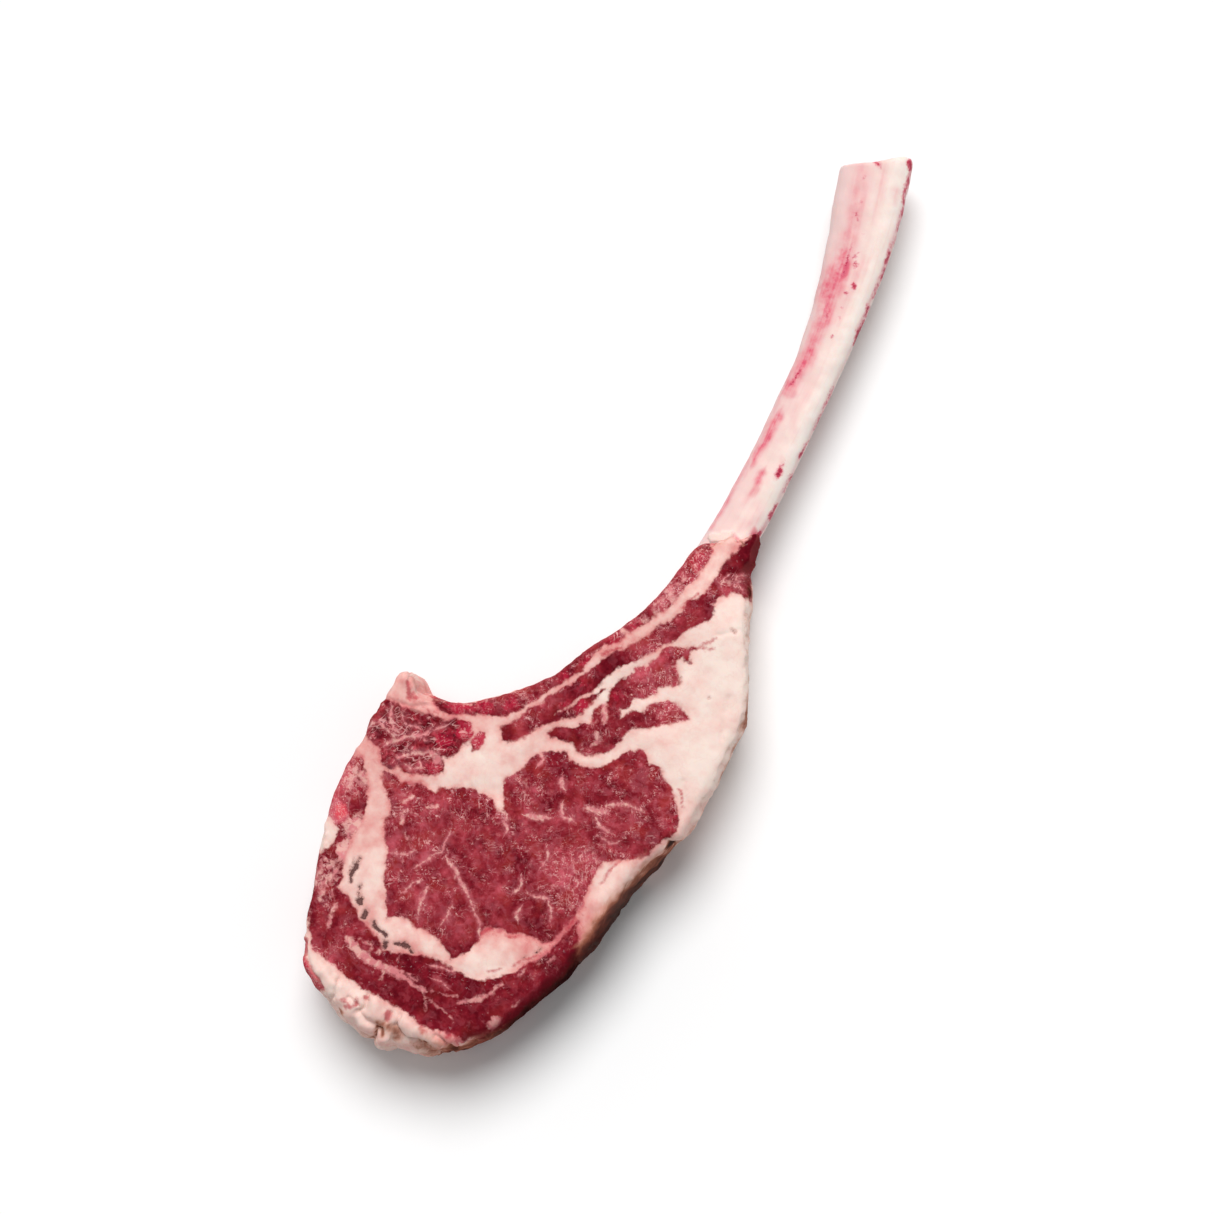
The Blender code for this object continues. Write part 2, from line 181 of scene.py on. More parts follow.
# Thin pale veins in the muscles, each with half its width.
VEINS = (
    (0.9, ((-12, -137), (-7, -139), (-2, -142.5), (4, -146))),
    (0.6, ((4, -146), (9, -150), (13, -153.5), (15.5, -158))),
    (0.8, ((-13, -151), (-13.5, -158), (-11, -162))), (0.5, ((-11, -162), (-9.6, -165))),
    (0.6, ((-17, -127), (-16, -135), (-18, -138))), (0.5, ((-18, -138), (-22, -147))),
    (0.5, ((-22, -158), (-18, -150))), (0.4, ((-1, -152), (0.6, -158), (-0.4, -163))),
    (0.9, ((36, -83.6), (40, -81), (44, -79.6))), (0.6, ((45, -79.4), (50, -78.4))),
    (0.6, ((35, -84), (36.6, -88))), (1.2, ((28, -89.5), (32, -88.4), (36.4, -87))),
    (0.9, ((33.6, -91), (37, -93), (41, -93.8))), (0.5, ((40, -97), (44, -97.5), (47, -95))),
    (0.8, ((18.6, -93), (19.4, -95.4), (21.6, -97.2))), (0.9, ((21, -97.4), (26, -96.6))),
    (1.1, ((13, -83.4), (14.4, -85.8), (15.8, -87))),
    (1.2, ((7.6, -104.4), (12, -103), (17, -100.4))), (0.9, ((-1, -78), (2, -81), (1.6, -84))),
    (0.9, ((26, -132), (30, -131.6), (33, -130))),
    (0.6, ((33, -130.6), (36, -133.6), (39, -137.6))),
    (0.8, ((25, -139), (24.6, -141.6), (26.2, -143.6))),
    (0.6, ((19, -128), (20.6, -132), (19.4, -135))), (0.7, ((0, -109), (3, -113), (3.4, -115.4))),
    (0.4, ((31.6, 24.6), (30.4, 23), (31.2, 21.4), (33, 22))),
    (0.45, ((38.6, 28), (36.4, 27), (35, 25), (35.4, 22.6), (37.6, 21.2))),
    (0.35, ((28, 21), (31.4, 18.2))),
    (0.4, ((36.6, 26.2), (36.4, 24.4), (38.4, 22.6), (40.8, 21.8))),
    (0.9, ((-46, -93), (-48, -97), (-52.5, -100.5), (-57, -105.5), (-59.5, -109))),
    (0.5, ((-48, -97), (-45.5, -98.5), (-44, -98))),
    (0.8, ((-66, -93), (-63.6, -96), (-61.5, -99.2), (-59.4, -100.8), (-56, -101.2))),
    (0.5, ((-61, -93), (-57.4, -95.8), (-54.4, -96.4), (-50, -94.6))),
    (0.55, ((-69, -104.6), (-66.4, -101.8), (-61.4, -102.8), (-56, -104.2))),
    (0.8, ((-41.5, -101), (-44, -104), (-46.5, -105.2), (-50, -108.6), (-52, -112))),
    (0.6, ((-48, -111.6), (-44.6, -111.4), (-41, -110), (-43, -107.6))),
    (0.5, ((-45, -94), (-41, -88.6))), (0.5, ((4, -178.6), (9, -177.4), (14, -176))),
    (0.4, ((8, -183), (12, -182), (15, -182.6))), (0.5, ((49, -104), (47, -108), (48, -112))),
    (0.6, ((-34, -146), (-30, -144.6), (-26, -141))), (0.5, ((22, -112), (25, -116), (24, -120))),
)

# Pits in the fat, darkened with painted shade: rows of a half width and its lines.
PITS = (
    (1.4, ((-31.2, -173), (-30.8, -175.4))),
    (1.3, ((-35.8, -170.2), (-35.2, -171))),
    (1.2, ((-44.7, -158), (-44.3, -162)), ((-10.2, -176.9), (-8.4, -177.2))),
    (1.0, ((-26.2, -175.4), (-23.4, -176.4)), ((-22.6, -176.6), (-18.8, -177.6)),
     ((-13, -178.3), (-11.5, -177.2)), ((-17.2, -179.6), (-16.8, -181.6))),
    (0.9, ((-7.4, -177.6), (-5.4, -178))),
    (0.7, ((-44.1, -162.5), (-43.3, -165.4)), ((-38.7, -165), (-38.2, -166.6))),
    (0.5, ((-44.6, -154.6), (-44.8, -157)), ((40.6, -149.5), (39.2, -152))),
    (0.4, ((-37.8, -168), (-36.6, -169.4)), ((49.8, -23.8), (50.2, -24))),
    (0.35, ((44, 5.8), (45.6, 5.2))),
    (0.3, ((37, -155.6), (36.4, -157.4))),
    (0.2, ((-46.4, -156), (-46, -160)), ((34.8, -22.6), (36.2, -25.6))),
    (0.15, ((-64.6, -77.5), (-64, -78))),
    (0.1, ((-52, -88.8), (-58, -90.2))),
)

# Blood-red marks in the fat: rows of a half width and its lines.
RED_MARKS = (
    (1.2, ((-1.6, -204.4), (-0.6, -207))),
    (1.0, ((-47.5, -196), (-44.5, -201.5))),
    (0.9, ((-44, -203), (-38.5, -206.6), (-34, -208.8)), ((25.2, 40.8), (27.4, 39.6))),
    (0.8, ((-64.6, -81), (-62.4, -83.6), (-60.2, -86.4)), ((18.8, -152.8), (15.8, -156.4))),
    (0.7, ((13.6, -202.6), (15.6, -204))),
    (0.6, ((-16, -206.4), (-14.6, -208.6), (-18.4, -211.2)), ((-33.4, -209.6), (-30.4, -211)),
     ((20.4, 30), (19.4, 25)), ((29.4, -150.2), (26.4, -151.6)), ((-53, -81.2), (-47.6, -79.6))),
    (0.5, ((-11.8, -203.2), (-13.2, -204.8)), ((-21, -209), (-17, -210)),
     ((-60, -84.4), (-57.8, -85)), ((47, -131), (46, -137)), ((-22.6, -66.4), (-15.4, -57)),
     ((-30, -75), (-24, -71.6)), ((16.4, 32), (19.6, 34.4)), ((26, -199.6), (23.8, -201))),
    (0.45, ((2, -30), (7, -23.6)), ((14, -20), (19.6, -8.6)), ((58.4, -63.4), (62.6, -69))),
    (0.4, ((21.4, 4), (24, 12))),
    (0.35, ((34.6, -8.6), (37.4, -4.6), (40.4, -1.4))),
    (0.3, ((51, -102), (50, -108), (49, -114)), ((41, -151), (38.4, -156), (34.4, -161)),
     ((31, -165), (26, -169))),
    (0.2, ((36.6, -7.4), (42, -5.2))),
)

# Browned and darkened outside, partly browning and partly painted shade, darkest on the right side
# and by the neck: x, y, reach and strength along the edge.
BROWNING_AND_SHADE = (
    ((63, -14, 1.4, 0.2), (67.6, -21, 2.6, 0.45), (70.8, -32, 3.0, 0.6), (72, -44, 3.2, 0.6),
     (72.8, -58, 3.2, 0.5), (73, -70, 2.8, 0.35), (71.4, -80, 3.0, 0.35), (69.4, -85, 4.4, 0.8),
     (68, -94, 7.8, 0.95), (66.2, -106, 10.4, 1.1), (64, -119, 12.4, 1.2), (62, -134, 12.5, 1.05),
     (59.4, -146, 11, 1.05), (58, -156, 11, 1.05), (54, -168, 11, 1.05), (49.6, -180, 9.5, 1.05),
     (44, -192, 8.5, 0.9), (36, -203, 7, 0.75), (27, -210, 6.5, 0.55), (17, -214.5, 4.5, 0.4)),
    ((58, -92, 2.2, 0.26), (57, -100, 2.4, 0.22)),
    ((-3, -210.8, 3.6, 0.4), (2, -209.6, 4.0, 0.5), (7, -210.6, 3.6, 0.4)),
    ((16.6, -208.6, 4.0, 0.4), (27, -207, 5.0, 0.55), (31.4, -203.6, 4.4, 0.85)),
    ((14, -204, 2.6, 0.2), (24, -204.6, 3.0, 0.28), (31, -203, 3.4, 0.42)),
    ((-3, -212.6, 1.6, 0.6), (0.6, -213, 1.6, 0.6)),
    ((-2, -214, 1.1, 0.5), (-1.2, -217.6, 1.1, 0.5)),
    ((18.2, -206.7, 0.9, 0.8), (18.9, -206.9, 0.9, 0.8)),
    ((-20, -213.5, 1.8, 0.4), (-17.4, -213.9, 1.6, 0.34)),
    ((13, -210, 1.0, 0.4), (17, -210.6, 1.0, 0.5)), ((-8, -216, 1.4, 0.3), (-3, -216.4, 1.4, 0.3)),
    ((-36, -200, 2.0, 0.16), (-28, -204, 2.6, 0.14)), ((26, 41, 0.8, 0.4), (31, 38.8, 0.8, 0.4)),
    ((15, 28, 1.0, 0.3), (19, 31.6, 1.0, 0.4), (24, 35.8, 1.0, 0.25)),
    ((44, 22, 2.6, 0.9), (41.6, 30, 3.4, 1.0), (39.6, 36, 3.6, 1.0), (37, 45, 3.2, 1.0)),
)

# Painted shade in the notch in the edge of the fat: x, y, reach and strength.
NOTCH = (((68.2, -84.2, 2.0, 1.3), (66.6, -85.2, 1.8, 1.2), (65.4, -87.8, 1.2, 0.5)),)

# Folds and lumps of the rind: half width, height and points.
FOLDS = (
    (3.4, 1.6, ((-8, -204.5), (-6, -208))),
    (1.0, -1.4, ((-12.4, -202.5), (-11.4, -207), (-13, -212))),
    (3.2, 1.6, ((-17, -209), (-15.5, -213))), (0.9, -1.2, ((-19.5, -207.6), (-14.6, -208.4))),
    (2.8, 1.5, ((-9, -214.4), (-4.6, -215))),
    (1.2, -1.1, ((-12, -211.6), (-3.4, -212.4), (0.6, -212.6))),
    (1.0, -0.7, ((-0.4, -204), (-0.6, -208))), (2.4, 2.2, ((2.4, -213), (1.4, -218))),
    (0.9, -1.0, ((-2, -213.6), (-1, -218))), (3.6, 1.6, ((6, -204), (10.4, -205.4))),
    (0.8, -1.2, ((3.4, -203), (4, -208), (8, -209.4), (14, -208.6))),
    (2.6, 1.5, ((9.6, -212), (14.6, -212))), (2.6, 1.6, ((24.6, -199.8), (29.4, -199.6))),
    (0.8, -1.2, ((20.6, -202.6), (27, -203), (31, -202.4))),
    (2.6, 1.0, ((17, -204.6), (22, -205))),
    (0.7, -1.2, ((15, -208.4), (20, -209.4), (24.6, -208.6))),
    (2.0, 1.0, ((18.6, -211), (22.6, -210))), (2.6, 1.1, ((-25, -206), (-22, -210))),
    (0.8, -1.0, ((-27, -203), (-24.6, -209), (-26, -213))), (3.0, 1.1, ((-34, -204), (-29, -206))),
    (0.9, -0.9, ((-47, -197), (-40, -205), (-31, -210))),
    (2.6, 0.9, ((54.6, -99), (54.6, -112), (52.4, -122))),
    (2.0, 1.3, ((20.4, 36.8), (23.4, 39.2))),
    (0.8, -0.5, ((50.8, -102), (50, -108), (49.2, -114))), (1.0, -1.2, ((25, 41), (27.4, 39.6))),
    (2.6, 1.0, ((25.4, 35.8), (26.6, 31))), (0.8, -0.8, ((18, 30), (20, 34.6), (23.6, 37))),
    (1.0, -0.7, ((57, -20), (63, -36))), (0.9, -0.5, ((40, 0), (47, 7), (52, 6))),
    (0.8, -0.7, ((-70, -92), (-58, -89.6), (-50, -84), (-44, -83))),
    (2.4, 1.0, ((-66, -80), (-62, -82))), (1.2, -1.2, ((64.6, -84.6), (69, -83.6))),
    (1.2, -0.5, ((58, -60), (64, -70), (65, -78))),
    (0.7, -0.9, ((-65.4, -77), (-64, -82), (-60, -86.4))),
)

# How dark or bright each muscle is: x, y, and 0 for maroon to 1 for pink.
TONES = (
    (34, 38, -0.05), (32, 27, 0.15), (35, 22, 0.5), (28, 5, 0.45), (20, -10, 0.56), (8, -35, 0.22),
    (0, -50, 0.36), (-12, -74, 0.62), (22, -18, 0.66), (23, -30, 0.78), (38, -38, 0.85),
    (30, -45, 0.5), (14, -45, 0.35), (15, -62, 0.48), (21, -60, 0.5), (5, -66, 0.3), (17, 22, 0.8),
    (13, 5, 0.75), (8, -12, 0.55), (-3, -35, 0.55), (-15, -57, 0.62), (-35, -78, 0.46),
    (-17, -79, 0.22), (12, -80, 0.4), (30, -65, 0.52), (52, -77, 0.58), (30, -95, 0.52),
    (5, -95, 0.55), (40, -118, 0.85), (5, -125, 0.5), (-20, -118, 0.56), (-45, -122, 0.62),
    (-25, -150, 0.64), (10, -150, 0.46), (0, -160, 0.52), (-20, -163, 0.52), (35, -143, 0.42),
    (-62, -100, 0.36), (-50, -95, 0.24), (-45, -103, 0.34), (-38, -90, 0.18), (-35, -97, 0.2),
    (-40, -110, 0.5), (-27, -88, 0.75), (-68, -124, 0.95), (-61, -124, 0.35), (-67, -133, 0.95),
    (-60, -132, 0.6), (-56.6, -138, 0.2), (-61, -142, 1.25), (-55, -147, 0.35), (-53, -152, 0.4),
    (-56, -168, 0.45), (-50, -160, 0.2), (-45, -185, 0.38), (-20, -195, 0.42), (-40, -207, 0.9),
    (-33, -210, 0.9), (-5, -183, 0.15), (15, -182, 0.2), (20, -195, 0.28), (40, -175, 0.25),
    (50, -145, 0.24),
)

# How rosy the fat is: x, y, and 0 for cream to 1 for rose.
ROSES = (
    (50, -30, 0.0), (55, -10, 0.0), (60, -50, 0.0), (50, -52, 0.15), (42, -47, 0.3),
    (30, -55, 0.25), (40, 5, 0.15), (46, 0, 0.1), (48, -31, 0.3), (57, -27, 0.2),
    (-50, -125, 0.55), (-46, -139, 0.6), (-38, -156, 0.3), (-48, -150, 0.55), (-48, -160, 0.45),
    (0, -173, 0.38), (-20, -173, 0.35), (-5, -178, 0.7), (-25, -180, 0.7), (25, -160, 0.45),
    (20, -153, 0.75), (25, -166, 0.2), (39, -151, 0.75), (45, -143, 0.85), (46, -132, 0.8),
    (-20, -92, 0.22), (-12, -85, 0.35), (-30, -110, 0.3), (-40, -118, 0.7), (0, -45, 0.5),
    (4, -24, 0.7), (13, -34, 0.15), (10, -40, 0.05), (15, -10, 0.5), (22, 10, 0.4), (26, 28, 0.4),
    (24, 36, 0.62), (-55, -84, 0.75), (-64, -82, 0.6), (-45, -83, 0.65), (-25, -74, 0.5),
    (55, -110, 0.34), (50, -100, 0.45), (57, -92, 0.45), (-20, -207, 0.25), (0, -205, 0.35),
    (15, -208, 0.4), (-40, -203, 0.3), (30, -200, 0.8), (66, -70, 0.35), (-60, -152, 0.2),
    (-68, -110, 0.65), (-5, -62, 0.5), (20, 12, 0.4),
)

# Where fat is scattered through the lean: x, y, reach and strength.
SCATTER = (
    (-65, -128, 8, 0.95), (-53, -144, 6, 1.2), (-51.6, -156, 6, 1.2), (-52, -170, 8, 0.85),
    (-48, -180, 6, 0.45), (-60, -168, 6, 0.6), (14, 5, 6, 0.9), (9, -9, 5, 0.5),
    (40, -112, 8, 0.5), (41, -128, 7, 0.5), (-46, -120, 8, 0.3), (-37, -127, 7, 0.2),
    (-30, -72, 12, 0.26), (-18, -60, 9, 0.4), (16, 22, 5, 0.5), (34, 23, 5, 0.45),
    (4, -92, 3.6, 0.5), (2, -96, 5, 0.5), (-5, -112, 8, 0.4), (41, -152, 5, 0.6),
    (46, -158, 6, 0.4), (14, -58, 7, 0.5), (-3, -186, 5, 0.3), (-30.4, -88, 1.3, 0.7),
    (-55, -164, 5, 0.95),
)

# Where the lean is a clear crimson: x, y, reach and strength.
CRIMSONS = (
    (-33, -87, 4.5, 1.0), (-25.6, -87.4, 3.4, 1.2), (-38, -94, 4.5, 0.75), (-36, -107, 4.0, 0.7),
    (-61.5, -142, 3.6, 1.0), (-66, -128, 6, 0.5), (-67, -136, 4, 0.5), (-59, -130, 4, 0.4),
    (5.6, -53, 3.6, 0.8), (-2, -57, 4, 0.4), (1, -46, 5, 0.35), (18, 23, 5, 0.6),
    (-43, -203, 4.5, 0.9), (-35, -208.6, 4.5, 0.9), (38, -34, 5, 0.3), (27, -17, 5, 0.3),
    (21, -28, 4, 0.3), (62, -77, 4.6, 0.4), (46.5, -98, 4.6, 0.4), (-2, -36, 4, 0.6),
    (-7, -46, 4, 0.6), (3, -23, 4, 0.6), (8, -13, 4, 0.6), (16, -43, 5, 0.4), (-21, -67, 5, 0.6),
    (-40, -79, 5, 0.8), (-31, -74, 5, 0.7),
)

# Marks on the bone

# Middle line of the bone and, at each of its points, half the width.
BONE_LINE = (
    (-8.9, 228.0), (-3.2, 209.3), (6.1, 180.4), (11.0, 160.3), (14.9, 140.2), (17.7, 120.0),
    (19.3, 100.0), (20.9, 80.0), (21.7, 60.0), (22.0, 45.0), (21.2, 30.0), (19.2, 16.0),
    (15.8, -0.9), (11.9, -13.1), (7.5, -22.4), (1.8, -32.2), (-2.1, -42.1), (-7.6, -52.9),
    (-15.3, -63.8), (-25.5, -73.9), (-34.2, -81.2), (-52.0, -89.5),
)
BONE_REACH = (
    15.1, 15.1, 14.1, 12.7, 11.0, 10.2, 10.1, 10.1, 10.3, 10.4, 10.2, 9.7, 9.3, 9.1, 9.0, 9.0, 9.0,
    9.0, 9.1, 9.1, 8.7, 6.0,
)
BONE_MIDDLE = 21.0                         # height of the middle line
BONE_RISE = 8.6                            # from there to the flat upper side

# Soft rose strokes: x, y, reach and strength.
BLUSHES = (
    ((2.6, 176, 3, 0.2), (4.6, 171, 6, 0.8), (5.6, 166.6, 7.6, 1.05), (6, 162, 8.4, 0.95),
     (6, 158, 9.6, 0.85), (7, 152, 9.6, 0.95), (9.2, 147, 7.6, 0.95), (10.4, 142, 6.2, 0.88),
     (11.2, 136, 5, 0.78), (11.8, 130, 5.2, 0.85), (12.2, 124, 5.4, 0.85), (12.4, 114, 6, 0.85),
     (12.4, 108, 5.8, 0.85), (12.8, 104.4, 5.2, 0.75), (13.4, 102.2, 2, 0.1)),
    ((5.6, 169.6, 2.6, 0.6), (6.6, 166, 4.6, 1.3), (8.2, 162, 3.8, 1.15), (8.4, 158.6, 2, 0.6)),
    ((1.4, 172, 2, 0.3), (1.9, 170.6, 3, 0.75), (3.4, 167, 2.4, 0.5)),
    ((10.4, 203.4, 3.6, 0.4), (11.6, 199, 3, 0.25)),
    ((14, 99.4, 1.8, 0.3), (14.2, 96, 3.8, 0.95), (14.4, 88, 3.6, 0.92), (14.6, 80, 3.4, 0.9),
     (14.8, 73, 2.6, 0.8), (15, 69, 1.4, 0.2)),
    ((20, 74, 1, 0.2), (20.2, 71, 3.2, 0.85), (20.6, 66, 3.4, 0.8), (20.8, 60, 2.8, 0.5),
     (20.6, 55, 2, 0.1)),
    ((-8, 206, 5, 0.35), (-5, 200, 6, 0.45), (-2, 192, 6.5, 0.5), (0.5, 184, 6.5, 0.55),
     (3, 176, 7, 0.55), (5, 168, 9, 0.5), (6, 160, 10, 0.5)),
    ((-2, 213, 3, 0.2), (3, 206, 4, 0.35), (5.5, 198, 3, 0.3), (8, 188, 2.4, 0.15)),
    ((13, 171, 3, 0.3), (13.4, 165, 4.5, 0.45), (13.6, 160, 3.4, 0.4), (15.4, 150, 3.4, 0.25),
     (16.4, 142, 2, 0.2)),
    ((1, 166, 3, 0.35), (3.4, 158, 3.4, 0.35), (6.6, 146, 3, 0.35), (8.4, 136, 2.6, 0.4),
     (9.6, 126, 2.4, 0.4), (10, 112, 2.4, 0.4), (11.4, 100, 2.4, 0.35), (12.4, 88, 2.2, 0.4),
     (12.6, 70, 2.6, 0.45), (12.8, 50, 3.6, 0.75), (12.6, 40, 3.4, 0.6)),
    ((20, 116, 4, 0.2), (20.6, 108, 4, 0.22), (19, 100, 3.4, 0.18)),
    ((21, 98, 3, 0.2), (24, 90, 3, 0.15)),
    ((12.4, 212, 2, 0.45), (15.6, 201, 2.2, 0.5), (18.6, 188, 2, 0.45), (21.4, 176, 2.2, 0.5),
     (24, 160, 2, 0.4), (26, 146, 2, 0.45), (27.4, 132, 1.6, 0.2), (29.6, 110, 2, 0.5),
     (30.6, 96, 2, 0.45), (31.4, 80, 1.8, 0.3), (32.4, 60, 2, 0.35), (32.4, 50, 2.6, 0.6)),
    ((24.6, 80, 2.4, 0.3), (26.4, 75, 3, 0.55), (26.2, 71, 2, 0.3)),
    ((28.6, 49.6, 2, 0.3), (30.6, 47, 3.4, 1.0), (31.6, 43.6, 3.4, 1.2), (29, 42, 2.4, 0.8)),
    ((27, 58, 5, 0.22), (28, 51, 5, 0.35), (23.5, 47, 4, 0.25)),
    ((22.4, 42.6, 1.4, 0.5), (24.4, 41.8, 1.6, 0.8), (26.4, 41.4, 1.4, 0.5)),
)

# Crimson specks: rows of a half width and its lines.
SPECKS = (
    (1.3, ((26.4, 75.8), (26.7, 73.2))),
    (1.0, ((26.5, 148), (27.2, 138))),
    (0.9, ((30.2, 110), (31.1, 97)), ((32.4, 48), (32, 45))),
    (0.8, ((8.6, 217.4), (10.6, 214.6)), ((14.6, 203.4), (15.6, 201)), ((20.8, 179.4), (22, 175)),
     ((25.2, 154.6), (25.8, 150.6))),
    (0.7, ((22.6, 172), (23.3, 168)), ((29, 117), (29.5, 112))),
    (0.6, ((31, 92), (31.4, 84)), ((6.5, 167.6), (6.9, 166)), ((14.1, 158.9), (14.5, 158.5))),
    (0.5, ((11, 213.6), (13, 208), (14, 205)), ((16.2, 198.6), (17, 195)),
     ((18.7, 189.4), (18.9, 188.9)), ((23.8, 165), (24.6, 159)), ((31.8, 76), (32.2, 68)),
     ((32.5, 62), (32.8, 54)), ((-3.8, 210.8), (-1.8, 209.8))),
    (0.45, ((26.1, 79.4), (26.3, 76))),
    (0.35, ((5.3, 175), (6.2, 170), (6.6, 166.6), (8.4, 161)), ((12.8, 154.6), (13.1, 154.4)),
     ((15.4, 148.6), (15.7, 148.4)), ((1.9, 185.4), (2.1, 185.2)), ((10.8, 142.8), (11, 141.6))),
    (0.3, ((19.6, 186), (20.4, 182)), ((9.4, 173), (9.2, 170.6)), ((10.6, 168), (11, 166.4)),
     ((6.8, 181.5), (7.2, 181)), ((0.3, 186.6), (0.4, 186.2)), ((-0.2, 193), (-0.4, 192.6)),
     ((-4.6, 202.4), (-4.4, 202))),
    (0.25, ((17.2, 135.6), (17.5, 135.4)), ((15.6, 144.6), (15.9, 144.4)),
     ((12.4, 117), (12.8, 110))),
    (0.2, ((17.6, 193), (18.2, 191))),
)

# Edge of the fat that leans out over the side, and how far.
LEANING_EDGE = (
    (36, 36), (38, 28), (46, 12.5), (54.4, -5), (65, -26), (67, -52), (68.3, -76), (65, -88),
    (62, -102), (59.4, -115), (58, -128), (57.5, -139), (54.3, -148), (54, -156), (49, -168),
    (45, -179), (40, -192), (34, -203),
)
LEAN_OUT = 4.0
LEAN_WAY = np.array((0.96, 0.28))
LEAN_PAUSE = -101.0                        # place along the edge that hardly leans

# Film of meat left on the bone: half width and points.
FILM = (2.1, ((16.4, 36), (19, 38), (20.6, 41)))
SAW_POINT = np.array((-4.4, 210.6))
SAW_ACROSS = np.array((26.0, 16.2)) / math.hypot(26.0, 16.2)
SAW_REACH = (15.3, 8.5)                    # half width and half height of the sawn end
SAW_SHIFT = 0.6
SQUARENESS = 2.6                           # 2 is an ellipse, larger is squarer
MARROW = 0.62                              # share of the sawn end inside its hard rim
SHOULDER = (0.7, 0.45)                     # turn and spread of the bone's right shoulder
SHOULDER_RISE = 0.125                      # as a share of the bone's reach


# Measuring on the drawing
def smooth_step(values, low, high):
    share = np.clip((values - low) / (high - low), 0.0, 1.0)
    return share * share * (3.0 - 2.0 * share)


def bell(values, middle, spread):
    return np.exp(-((values - middle) / spread) ** 2)


def to_level(points, level):
    """Flat places where the fibres through the points meet a level of the steak."""
    flat, rise = points[:, :2] - MIDDLE, points[:, 2:]
    return flat + (FAR_POINT[:2] - flat) * (level - rise) / (FAR_POINT[2] - rise)


def nearest(spots, line):
    """For each spot: distance to a line, share of the line's length there, and side of it."""
    rows = np.array(line, float)
    best = np.full(len(spots), np.inf)
    place = np.zeros(len(spots))
    side = np.zeros(len(spots))
    for i, (start, end) in enumerate(zip(rows[:-1], rows[1:])):
        run = end - start
        away = spots - start
        share = np.clip(away @ run / (run @ run), 0.0, 1.0)
        gap = np.hypot(*(away - share[:, None] * run).T)
        closer = gap < best
        turn = run[0] * away[:, 1] - run[1] * away[:, 0]
        best = np.where(closer, gap, best)
        place = np.where(closer, (i + share) / (len(rows) - 1), place)
        side = np.where(closer, np.where(turn < 0, -1.0, 1.0), side)
    return best, place, side


def depth_inside(spots, outline):
    """Distance from an outline, positive inside it."""
    closed = list(outline) + [outline[0]]
    gap = nearest(spots, closed)[0]
    within = np.zeros(len(spots), bool)
    for (ax, ay), (bx, by) in zip(closed[:-1], closed[1:]):
        if ay != by:
            meets = (spots[:, 1] < ay) != (spots[:, 1] < by)
            within ^= meets & (spots[:, 0] < ax + (spots[:, 1] - ay) * (bx - ax) / (by - ay))
    return np.where(within, gap, -gap)


def strokes(spots, rows):
    """Greatest half width less distance, over rows of a half width and its lines."""
    return np.max([half - nearest(spots, line)[0] for half, *lines in rows for line in lines],
                  axis=0)


def blend_of(spots, anchors):
    """Value at each spot, blended from the values at the anchors round it."""
    total, weight = np.zeros(len(spots)), np.zeros(len(spots))
    for x, y, value in anchors:
        near = 1.0 / ((spots[:, 0] - x) ** 2 + (spots[:, 1] - y) ** 2 + 4.0) ** 2
        total += near * value
        weight += near
    return total / weight


def brushed(spots, strokes_drawn):
    """Strength left by soft strokes, whose rows are x, y, reach and strength."""
    left = np.zeros(len(spots))
    for stroke in strokes_drawn:
        rows = np.array(stroke, float)
        gap, place, _ = nearest(spots, rows[:, :2])
        along = place * (len(rows) - 1)
        reach = np.interp(along, np.arange(len(rows)), rows[:, 2])
        power = np.interp(along, np.arange(len(rows)), rows[:, 3])
        left = np.maximum(left, power * smooth_step(1.0 - gap / reach, 0.0, 1.0))
    return left


def patches(spots, rows):
    """Strongest of the soft round patches, whose rows are x, y, reach and strength."""
    return np.max([power * np.exp(-((spots[:, 0] - x) ** 2 + (spots[:, 1] - y) ** 2)
                                  / reach ** 2) for x, y, reach, power in rows], axis=0)


def vein_sides(spots, veins):
    """Signed distance to the nearest vein, and its half width there."""
    best = np.full(len(spots), np.inf)
    signed, width = np.zeros(len(spots)), np.full(len(spots), -1.0)
    for half, line in veins:
        gap, place, side = nearest(spots, line)
        taper = half * np.clip(0.35 + 5.0 * np.minimum(place, 1.0 - place), 0.0, 1.0)
        closer = gap < best
        best = np.where(closer, gap, best)
        signed = np.where(closer, side * gap, signed)
        width = np.where(closer & (gap < 2.5), taper, np.where(closer, -1.0, width))
    return signed, width


def lean_out(points):
    """Moves the upper part of the fat edge outward, in millimetres."""
    flat = points[:, :2] - MIDDLE
    gap, place, _ = nearest(flat, LEANING_EDGE)
    ends = smooth_step(place, 0.01, 0.2) * smooth_step(1.0 - place, 0.0, 0.12)
    ends *= 1.0 - 0.95 * bell(flat[:, 1], LEAN_PAUSE, 17.0)
    reach = smooth_step(14.0 - gap, 0.0, 12.0) * ends
    reach *= smooth_step(points[:, 2], 14.0, 38.0)
    moved = points.copy()
    moved[:, :2] += LEAN_OUT * reach[:, None] * LEAN_WAY
    return moved


def draw_tip(points):
    """Draws the corner by the bone out to a point and dips the edge beside the knob."""
    x, y = (points[:, :2] - MIDDLE).T
    high = smooth_step(points[:, 2], 8.0, 30.0)
    far = smooth_step(y, 33.0, 42.0) * high
    corner = bell(y, 35.0, 1.8) - 0.5 * bell(y, 29.0, 2.4)
    dip = np.exp(-((x + 57.8) / 2.4) ** 2 - ((y + 77.0) / 6.0) ** 2)
    moved = points.copy()
    moved[:, 1] += 4.5 * far * bell(x, 31.5, 2.6)
    moved[:, 0] -= 2.4 * far * smooth_step(x, 32.5, 37.5)
    moved[:, 1] -= 1.5 * dip
    moved[:, 0] += 1.6 * corner * high * smooth_step(x, 30.0, 37.0)
    return moved


def drift(points, size):
    """Slow wander in x and y, for points in millimetres."""
    return np.array([noise.noise_vector(Vector(point) / size)[:2] for point in points])


